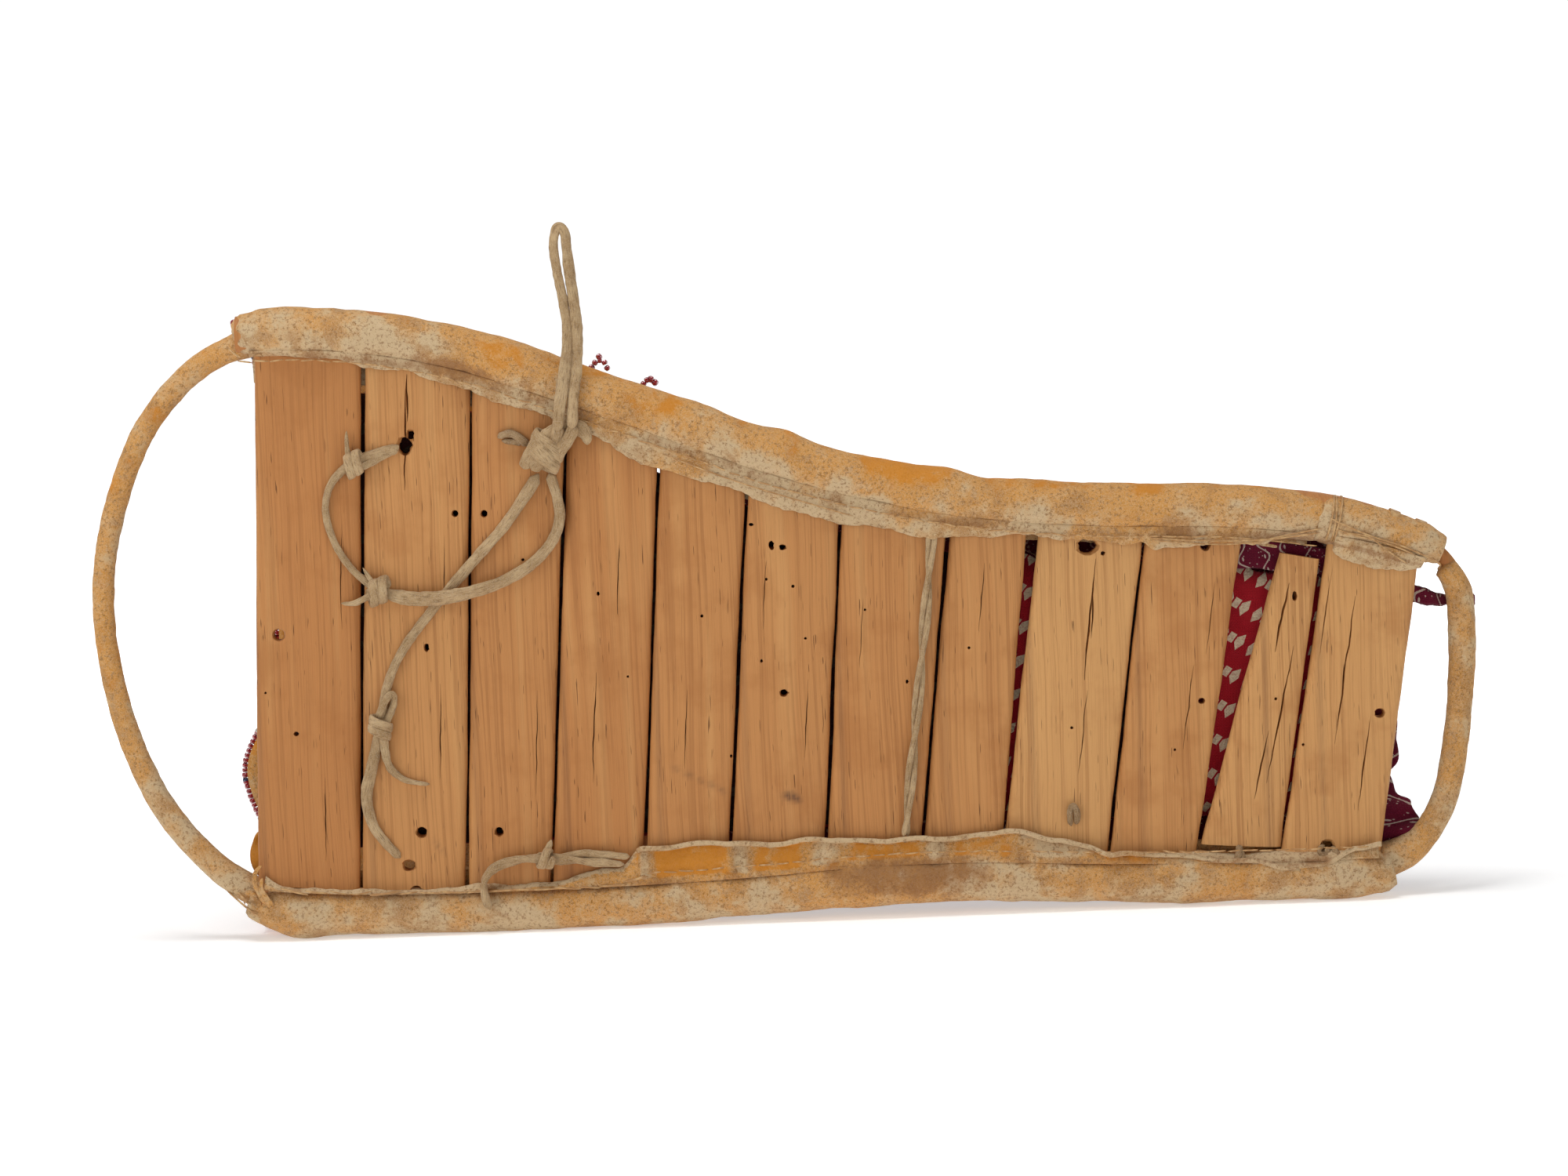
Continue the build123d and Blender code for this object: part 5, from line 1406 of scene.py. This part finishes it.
loose_sinew = join(
    "loose_sinew_strands",
    strand(((139, -7.4, 141.6), (152, -7.8, 140.0), (168, -7.6, 139.2), (186, -8.4, 138.8), (204, -9.2, 141.0)),
           0.7, 81),
    strand(((141, -7.4, 140.4), (158, -7.9, 138.2), (176, -7.8, 137.6), (192, -8.2, 140.6), (205, -9.4, 142.6)),
           0.6, 82),
    strand(((-44, -7.8, 180.5), (-20, -8.0, 170.0), (4, -7.8, 161.8), (28, -7.6, 153.8)), 0.55, 83),
    strand(((207.5, -9.6, 146.6), (214, -9.9, 143.0), (224, -9.4, 138.4), (236, -8.8, 134.6), (247, -7.2, 128.8)),
           0.75, 84),
    strand(((209, -9.3, 142.6), (218, -9.6, 139.0), (229, -9.2, 136.4), (240, -8.8, 131.0)), 0.65, 85),
    strand(((212, -9.2, 140.4), (221, -9.8, 140.6), (230, -9.2, 132.2), (237, -8.2, 127.8)), 0.65, 86),
    strand(((247, -6.6, 129.2), (249.5, -4, 127.2), (251, 1, 126.0), (250, 4, 124.4)), 0.8, 87),
    strand(((-205, -6.4, 12.4), (-209, -3.4, 15.0), (-213.5, 1.0, 19.6), (-216, 4, 22.0)), 0.9, 88),
    strand(((-203.6, -7.2, 9.4), (-208, -4.6, 12.4), (-213, -0.4, 15.8), (-217.5, 3.0, 19.6)), 0.8, 89),
    strand(((-206.0, -3.0, 18.4), (-207.6, 0.6, 14.0), (-207.8, 2.6, 9.6)), 0.8, 90),
    strand(((-209.6, -1.6, 20.4), (-210.9, 2.0, 17.0), (-211.0, 5.6, 13.0)), 0.8, 91),
    strand(((-205.4, -7.0, 226.6), (-203.4, -8.6, 223.8), (-200.4, -8.4, 222.6)), 0.7, 92),
    strand(((-196.0, -6.8, 222.2), (-194.0, -7.8, 224.8), (-192.2, -7.2, 222.4)), 0.7, 93))
ready(loose_sinew, "frame", "sinew", sinew)

OPEN_FROM, OPEN_TO = math.radians(-58), math.radians(232)
corner_turn = ring_shape("corner_turn", 9.65, 0.8, 0.45, OPEN_FROM, OPEN_TO)
corner_wraps = run_tree("foot_corner_wraps", along_tree, line_mesh(part_of(upper_line, 207.0, 211.6)),
                        Shape=corner_turn, Spacing=0.0013, Size_Change=0.012, Turn_Change=0.05,
                        Outwards=(0.0, 0.0, 1.0), Seed=8, Material=sinew)
ready(corner_wraps, "frame", "sinew", sinew, "corner_tie")

head_tie = join(
    "head_tie_curl",
    tail(((-200.6, -6.6, 14.5), (-203.4, -7.6, 18.6), (-205.4, -7.0, 23.4), (-204.6, -6.4, 28.0),
          (-202.2, -6.6, 29.4)), 2.8, 1.4, 1.3, 94.0),
    tail(((-198.6, -7.6, 13.0), (-200.8, -8.6, 17.6), (-203.2, -8.2, 21.2), (-202.0, -7.2, 24.8)),
         2.6, 1.6, 1.3, 95.0),
    tail(((-204.6, -6.6, 17.4), (-207.4, -5.4, 19.6), (-209.4, -3.6, 18.6)), 2.6, 1.8, 1.4, 96.0))
paint(head_tie, "ochre", lambda p: 0.55)
ready(head_tie, "frame", "ochre_hide", ochre_hide, "head_tie")

slat_pin = join(
    "loose_slat_tie",
    tail(((168.6, -6.4, 14.8), (169.6, -7.2, 18.6), (170.2, -5.2, 21.4), (170.5, -2.6, 22.6)), 2.8, 2.4, 1.7, 97.0),
    tail(((171.8, -6.4, 15.2), (171.4, -6.8, 18.0), (170.9, -4.8, 21.0), (170.6, -2.4, 22.0)), 2.0, 2.0, 1.5, 98.0))
ready(slat_pin, "frame", "thong_hide", old_thong, "slat_pin")
print("stitches", len(upper_stitches.data.polygons) + len(lower_stitches.data.polygons), "faces")

# %% [markdown]
# ## The bed
# The bed is a thin pad of old cloth sewn into printed calico. It is built as a flat closed form, and a cloth
# simulation blows it up a little from inside, so that it bulges between the rails the way a stuffed pad does. A
# cap keeps it off the slats. Its print is laid flat on it afterwards.

# %% The bed pad
def bed_rows():
    rows, last = [], 83
    for i, x in enumerate(steps(-197.0, 420.5, last)):
        low = lower_height(x) + easing(x, (-190, 15.5), (200, 14.8), (224, 18))
        high = upper_height(x) - easing(x, (-190, 15.5), (150, 14.6), (164, 17.5), (200, 19.5), (224, 22))
        pinch = math.sqrt(min(1.0, 0.1 + min(i, last - i) / 3))
        row = []
        for a in round_angles(64):
            y = math.copysign(abs(math.sin(a)) ** 0.55, math.sin(a)) * 3.1 * pinch
            z = math.copysign(abs(math.cos(a)) ** 0.35, math.cos(a)) * (high - low) / 2
            row.append(at(x, 8.4 + y, (high + low) / 2 - z))
        rows.append(row)
    return rows


bed = surface("bed_pad_calico", bed_rows(), around=True, capped=True)
BED_BACK, BED_CAP = at(0, 4.5, 0).y, 4.0 * MM
BLOW_FRAMES = 20
remesh = bed.modifiers.new("even", "REMESH")
remesh.mode, remesh.voxel_size = "VOXEL", 0.005
swollen_mesh = settled(bed)
bed.modifiers.clear()
swollen = link_piece("swollen", swollen_mesh)
before = [v.co.copy() for v in swollen_mesh.vertices]
cloth = swollen.modifiers.new("cloth", "CLOTH")
cloth.settings.use_pressure = True
cloth.settings.uniform_pressure_force = 4
cloth.settings.quality = 6
cloth.settings.effector_weights.gravity = 0
cloth.point_cache.frame_start, cloth.point_cache.frame_end = 1, BLOW_FRAMES
for step in range(1, BLOW_FRAMES + 1):
    bpy.context.scene.frame_set(step)
final = settled(swollen)
bpy.data.objects.remove(swollen)
for vertex, old in zip(final.vertices, before):
    move = vertex.co - old
    if move.length > BED_CAP:
        vertex.co = old + move * (BED_CAP / move.length)
    vertex.co.y = max(vertex.co.y, BED_BACK)
bpy.data.objects.remove(bed)
bed = link_piece("bed_pad_calico", final)
bpy.context.scene.frame_set(1)
finer = bed.modifiers.new("finer", "SUBSURF")
finer.levels = finer.render_levels = 1
smooth = settled(bed)
bpy.data.objects.remove(bed)
bed = link_piece("bed_pad_calico", smooth)


def lay_print(piece):
    """Lays a cloth's print on a piece as seen from its back."""
    mesh = piece.data
    layer = mesh.uv_layers.active or mesh.uv_layers.new(name="UVMap")
    for loop, place in zip(mesh.loops, layer.data):
        place.uv = (mesh.vertices[loop.vertex_index].co.x, mesh.vertices[loop.vertex_index].co.z)
    mesh.polygons.foreach_set("use_smooth", [True] * len(mesh.polygons))


for vertex in bed.data.vertices:
    p = drawn(vertex.co)
    if p.y > 6:
        vertex.co.y += 0.9 * MM * lump(p.x, 0, p.z, 26, 9) + 0.35 * MM * lump(p.x, 3, p.z, 8, 9)
lay_print(bed)


def bed_gap_shade(p):
    """Painted shade on the bed's back, so that the narrow gaps between the slats look dark; it is left out behind the
    two wide gaps.
    """
    across = p.x - (p.z - 110) * 0.13
    return 0.94 * (1 - bump_at(across, 91.5, 4.5)) * easing(across, (150, 1.0), (160, 0.0)) if p.y < 9 else 0.0


paint(bed, "gap_shade", bed_gap_shade)
ready(bed, "frame", "red_calico", red_calico, "bed_pad")
print("bed", len(bed.data.polygons), "faces")

# %% [markdown]
# ## The calico bag
# The child lies in a bag of maroon calico: two side flaps nailed along the rails and laced down the middle with
# thong, and a pouch over the feet. Each is a sheet, so it is built as a grid of points over the body's round
# form, pulled into gathers at the rails and soft folds between them, and given its thickness last.

# %% Flaps, pouch and lacing
BAG_STATIONS = ((-46, 46), (24, 43), (96, 40), (168, 38), (230, 30))
BAG_START_Y = 10.9
LEAST_WIDTH = 0.0101


def bag_point(x, angle, seed=1.0):
    """A place on the bag: angle 0 is at the lower rail and 180 at the upper one."""
    low, high = lower_height(min(x, 225)), upper_height(x)
    deep, half = easing(x, *BAG_STATIONS), (high - low) / 2
    a = math.radians(angle)
    rim = min(angle, 180 - angle) / 90
    gathers = 0.9 * math.sin(x / 2.6 + 1.3 * math.sin(x / 17)) * max(0.0, 1 - rim * 2.2)
    folds = -1.9 * max(0.0, lump(x * 0.55, 30 * math.sin(a), 30 * math.cos(a), 15, seed)) * min(1, rim * 3)
    folds += 0.5 * lump(x, 20 * a, 0, 5, seed + 1) * min(1, rim * 4)
    out = 1 + (folds + gathers) / deep
    return at(x, BAG_START_Y + deep * math.sin(a) * out, (high + low) / 2 - half * math.cos(a) * (0.98 + 0.02 * out))


def cloth_sheet(name, rows, thick, flip=False):
    """A grid of points as cloth, with its thickness as a live modifier."""
    piece = surface(name, [list(reversed(row)) for row in rows] if flip else rows)
    skin_depth = piece.modifiers.new("thickness", "SOLIDIFY")
    skin_depth.thickness, skin_depth.offset = thick * MM, 0.0
    return piece


def spread_size(rows):
    """A sheet's size across and along, measured over its surface."""
    middle = rows[len(rows) // 2]
    column = [row[len(row) // 2] for row in rows]
    return length_of(middle), length_of(column)


def sheet_area(rows):
    total = 0.0
    for a, b in zip(rows, rows[1:]):
        for j in range(len(a) - 1):
            total += ((a[j + 1] - a[j]).cross(b[j] - a[j]).length
                      + (b[j] - b[j + 1]).cross(a[j + 1] - b[j + 1]).length) / 2
    return total


def declare_sheet(piece, rows):
    """Prints a sheet's size, measured over its surface. What isn't a rectangle has its width taken from its area."""
    wide, long = spread_size(rows)
    area = sheet_area(rows)
    wide = max(wide, area / long, LEAST_WIDTH)
    print(piece.name, "flat", round(wide, 3), "by", round(long, 3), "m")


for name, first, last, node in (("lower_flap_calico", 1, 80.5, "lower_flap"),
                                ("upper_flap_calico", 179, 99.5, "upper_flap")):
    rows = [[bag_point(x, angle, 1.0 if first < 90 else 2.0) for angle in steps(first, last - first, 40)]
            for x in steps(-46, 214, 107)]
    for row in rows:
        for j, lift in ((39, 0.6), (40, 1.4)):
            row[j] = row[j] + Vector((0, lift * MM, 0))
    flap = cloth_sheet(name, rows, 0.9, flip=first > 90)
    ready(flap, "frame", "maroon_calico", maroon_calico, node)
    declare_sheet(flap, rows)

pouch_rows = []
for x in steps(168.6, 61.4, 31):
    pouch_rows.append([bag_point(x, angle, 4.0) for angle in steps(1, 178, 80)])
for share in (0.9, 0.74, 0.56, 0.38, 0.2, 0.08):
    last = pouch_rows[31]
    middle = at(230.6 + 1.6 * (1 - share), BAG_START_Y + 10, 78)
    pouch_rows.append([middle + (p - middle) * share + Vector(((1 - share) * 1.2 * MM * math.sin(j / 1.7), 0, 0))
                       for j, p in enumerate(last)])
pouch = cloth_sheet("foot_pouch_calico", pouch_rows, 0.9)
ready(pouch, "frame", "maroon_calico", maroon_calico, "foot_pouch")
declare_sheet(pouch, pouch_rows)

tuck_rows = []
for x in steps(164, 58, 33):
    rail = upper_height(x)
    tuck_rows.append([at(x, 3.6 + 0.7 * share + 0.5 * math.sin(x / 2.9) * share * (1 - share) * 3,
                         rail - 11.5 - easing(x, (164, 9), (176, 11.5), (190, 11.0), (222, 10.5)) * share
                         - 0.7 * share * math.sin(x / 3.7)) for share in (k / 8 for k in range(9))])
tuck = cloth_sheet("pouch_tucked_edge", tuck_rows, 0.7, flip=True)
ready(tuck, "frame", "maroon_calico", maroon_calico)
declare_sheet(tuck, tuck_rows)

ruffle_rows = []
for z in steps(16, 57, 59):
    edge = easing(z, (16, 231), (22, 237.5), (29, 241.4), (34, 238.0), (41, 231.8), (47, 230.2), (54, 233.6),
                  (66, 233.2), (73, 229.5))
    ruffle_rows.append([at(221 + (edge - 221) * share, 8.6 + 2.6 * share * math.sin(z / 2.3 + share) - 2 * share,
                           z + 0.8 * share * math.sin(z / 1.7)) for share in (k / 12 for k in range(13))])
ruffle = cloth_sheet("foot_ruffle_calico", ruffle_rows, 0.7)
ready(ruffle, "frame", "maroon_calico", maroon_calico)
declare_sheet(ruffle, ruffle_rows)

strip_line = drawn_line((
    (231.5, 9.6, 117.6), (240, 7.0, 116.0), (247, 6.4, 113.6), (251.6, 9.4, 112.4), (257, 11.8, 112.0),
    (262.4, 11.4, 112.0), (264.4, 7.6, 112.0)))
STRIP_FOLD = ((-0.9, 1.1), (-1.1, 0.4), (-0.8, -0.3), (-1.0, -0.8), (0.0, -1.15), (1.0, -0.7), (0.8, 0.0),
              (1.1, 0.6), (0.7, 1.2))
strip_rows = []
for i, point in enumerate(strip_line):
    share = i / (len(strip_line) - 1)
    half = easing(share, (0, 3.4), (0.35, 2.4), (0.6, 1.5), (1, 1.8)) + 0.3 * lump(i, 0, 0, 3, 5)
    strip_rows.append([point + Vector((0, y, v * half + 0.2 * math.sin(i / 3 + v))) * MM for y, v in STRIP_FOLD])
strip = cloth_sheet("foot_tie_strip", strip_rows, 0.6)
ready(strip, "frame", "maroon_calico", maroon_calico, "foot_tie")
wide, long = spread_size(strip_rows)

rung_line = smooth_line([Vector(p) * MM for p in (
    (0, -12, -2.4), (0, -10.5, 0.6), (0, -6, 1.5), (0.5, 0, 1.8), (0, 6, 1.5), (0, 10.5, 0.6), (0, 12, -2.4))], 4)
rung = pattern(thong_skin("lace_rung", [p + SHIFT for p in rung_line], lambda u: 3.0, lambda u: 1.7, 99.0, sides=8,
                          facing=Vector((0, 0, 1))))
for vertex in rung.data.vertices:
    vertex.co -= SHIFT


def ridge_point(x, lift=0.0):
    return (bag_point(x, 80.5) + bag_point(x, 99.5)) / 2 + Vector((0, (1.0 + lift) * MM, 0))


ridge_line = [ridge_point(x) for x in steps(-34, 190.5, 96)]
rungs = run_tree("flap_lace_rungs", along_tree, line_mesh(ridge_line), Shape=rung, Spacing=0.0237, Size_Change=0.03,
                 Turn_Change=0.06, Outwards=(0.0, 1.0, 0.0), Seed=9, Material=thong_hide)
lace_points = [ridge_point(-34 + 11.9 * i, 2.6) + Vector((0, 0, (-1) ** i * 8.5)) * MM for i in range(17)]
lace = thong_skin("w", smooth_line(lace_points), lambda u: 2.8, lambda u: 1.6, 98.0, facing=Vector((0, 1, 0)),
                  sides=10)
lacing = join("flap_lacing_thong", rungs, lace)
ready(lacing, "frame", "thong_hide", thong_hide, "flap_lacing")
print("lacing", len(lacing.data.polygons), "faces")

# %% [markdown]
# ## The hood and its beads
# Two bent bows stand up from the rails at the head, and a hide is stretched over them to shade the face. The
# hide is one grid laid along the bows' outline. It sags between them, creases at the corners and flares at its
# open edge, which is sewn with seed beads.

# %% The hood
def hood_outline(high, share):
    """A place along the hood's outline, from the lower rail round to the upper one, and its outward way."""
    near, far, corner = 9.9, 90.0, 50.0
    runs = (far - corner - near, math.pi / 2 * corner, high - 2 * corner, math.pi / 2 * corner, far - corner - near)
    d = share * sum(runs)
    if d <= runs[0]:
        return near + d, 0.0, (0, -1)
    d -= runs[0]
    if d <= runs[1]:
        a = d / corner
        return far - corner + corner * math.sin(a), corner - corner * math.cos(a), (math.sin(a), -math.cos(a))
    d -= runs[1]
    if d <= runs[2]:
        return far, corner + d, (1, 0)
    d -= runs[2]
    if d <= runs[3]:
        a = d / corner
        return far - corner + corner * math.cos(a), high - corner + corner * math.sin(a), (math.cos(a), math.sin(a))
    return far - corner - (d - runs[3]), high, (0, 1)


def hood_point(along, share, extra=0.0):
    """A place on the hood's hide: along from the head's edge, 0, to the foot's edge, 1."""
    y, z, _ = hood_outline(235.8, share)
    off_bed = min(1.0, max(0.0, (y - 18) / 30))
    flare = (15.5 * bump_at(z, 54, 25) * off_bed + 2.6 * bump_at(z, 214, 14) * (1 - off_bed)
             + 2.0 * lump(0, y, z, 22, 8))
    front = 3.0 * lump(9, y, z, 18, 9) * off_bed
    x = -204.4 - flare * (1 - along) ** 3 + (154.0 + front * along ** 3) * along
    high = upper_height(max(x, -204)) + 4.0
    y, z, (out_y, out_z) = hood_outline(high, share)
    belly = math.sin(math.pi * min(1.0, max(0.0, (x + 196) / 138)))
    sag = -2.6 * belly * off_bed
    crease = (1.1 * lump(x * 0.5, y, z, 17, 5) + 0.45 * lump(x, y, z, 6, 6)) * off_bed
    crease -= 1.3 * max(0.0, lump(x * 0.25, y * 0.8, z, 9, 7)) * belly
    puff = 0.9 * (bump_at(x, -196, 4) + bump_at(x, -58, 4)) * off_bed
    off = extra + min(2.2, sag + crease + puff)
    return at(x, y + out_y * off, max(easing(x, (-204, 5.0), (-180, 0.8)), z + out_z * off))


hood_rows = [[hood_point(i / 70, j / 150) for j in range(151)] for i in range(71)]
hood = cloth_sheet("hood_hide_cover", hood_rows, 1.5, flip=True)
paint(hood, "ochre", lambda p: 0.5 + 0.32 * lump(*p, 42, 21) + 0.2 * lump(*p, 13, 22)
      + 0.25 * bump_at(p.x, -205, 14) + 0.2 * bump_at(p.x, -50, 10))
paint(hood, "stain", lambda p: 0.7 * bump_at(p.x, -120, 16) * bump_at(p.z, 150, 14) if p.y > 50 else 0.0)
ready(hood, "frame", "ochre_hide", hood_hide, "hood_cover")
declare_sheet(hood, hood_rows)

tab_rows = []
for z in steps(22, 18, 25):
    edge = -204.6 - 4.4 * max(0.0, math.sin((z - 22) / 18 * math.pi)) ** 0.6
    tab_rows.append([at(-198 + (edge + 198) * k / 8, 13.5 + 1.4 * math.sin(z / 3 + k / 3), z) for k in range(9)])
tab = cloth_sheet("hood_scalloped_tab", tab_rows, 1.2)
paint(tab, "ochre", lambda p: 1.6)
ready(tab, "frame", "ochre_hide", hood_hide)
declare_sheet(tab, tab_rows)

# %% Bead edging
bead = bead_shape("seed_bead", 2.9, 0.8)
BEAD_STEP = 0.0019
head_edge = [hood_point(0.0, s / 400, 0.5) + Vector((-1.1 * MM, 0, 0)) for s in range(8, 393)]
foot_edge = [hood_point(1.0, s / 400, 0.5) + Vector((1.1 * MM, 0, 0)) for s in range(8, 393)]
second_row = [hood_point(0.014, s / 400, 2.4) for s in range(8, 393)]
third_row = [hood_point(0.986, s / 400, 2.4) for s in range(8, 393)]


def bead_runs(lines, pattern_of_runs):
    """Cuts each line into runs of beads of one colour each, and gives the runs for every colour."""
    runs = {}
    for line in lines:
        line, first, turn = even(line, 0.7 * MM), 0, 0
        while first < len(line) - 4:
            colour, beads = pattern_of_runs[turn % len(pattern_of_runs)]
            last = min(len(line) - 1, first + beads * 3)
            runs.setdefault(colour, []).append(line[first:last])
            first, turn = last, turn + 1
    return runs


BEAD_PATTERN = (("red", 11), ("blue", 1), ("red", 7), ("blue", 1), ("red", 9), ("white", 2))
runs = bead_runs((head_edge, foot_edge, second_row, third_row), BEAD_PATTERN)
glass = {"red": red_glass, "blue": blue_glass, "white": white_glass}
for number, (colour, lines) in enumerate(sorted(runs.items())):
    string = run_tree("bead_edging_" + colour, along_tree, line_mesh(*lines), Shape=bead, Spacing=BEAD_STEP,
                      Size=0.92, Size_Change=0.1, Turn_Change=0.3, Outwards=(0.0, 1.0, 0.0), Seed=20 + number,
                      Material=glass[colour])
    ready(string, "frame", "beads", glass[colour], *(["bead_edging"] if colour == "red" else []))
cluster_lines = [[at(-69.5, 9.6, 213.6), at(-67.4, 9.2, 216.4), at(-64.8, 9.4, 216.0), at(-63.6, 9.8, 213.2)],
                 [at(-66.5, 9.4, 217.6), at(-65.4, 9.2, 218.6)],
                 [at(-50.0, 9.6, 206.6), at(-47.8, 9.4, 208.8), at(-45.6, 9.8, 207.0)]]
clusters = run_tree("bead_clusters", along_tree, line_mesh(*cluster_lines), Shape=bead, Spacing=BEAD_STEP, Size=0.9,
                    Size_Change=0.1, Turn_Change=0.4, Seed=31, Material=red_glass)
ready(clusters, "frame", "beads", red_glass)
print("beads", {colour: len(lines) for colour, lines in runs.items()})

# %% [markdown]
# ## Wood that shows as it was modelled
# The poles, the bent rods, the hood's bows and the inner lashings are right as they were drawn, so they stay and
# only get a finish in their material slots.

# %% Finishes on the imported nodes
for nodes, finish in ((("upper_pole", "lower_pole"), pole_wood), (("bow_lashings",), sinew),
                      (("head_bow", "foot_bow", "hood_rear_bow", "hood_front_bow"), rod_wood)):
    for node in nodes:
        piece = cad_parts[node]
        for slot in piece.material_slots:
            slot.material = finish
print("packed nodes finished")

# %% [markdown]
# ## The end

# %% The end
print("done")
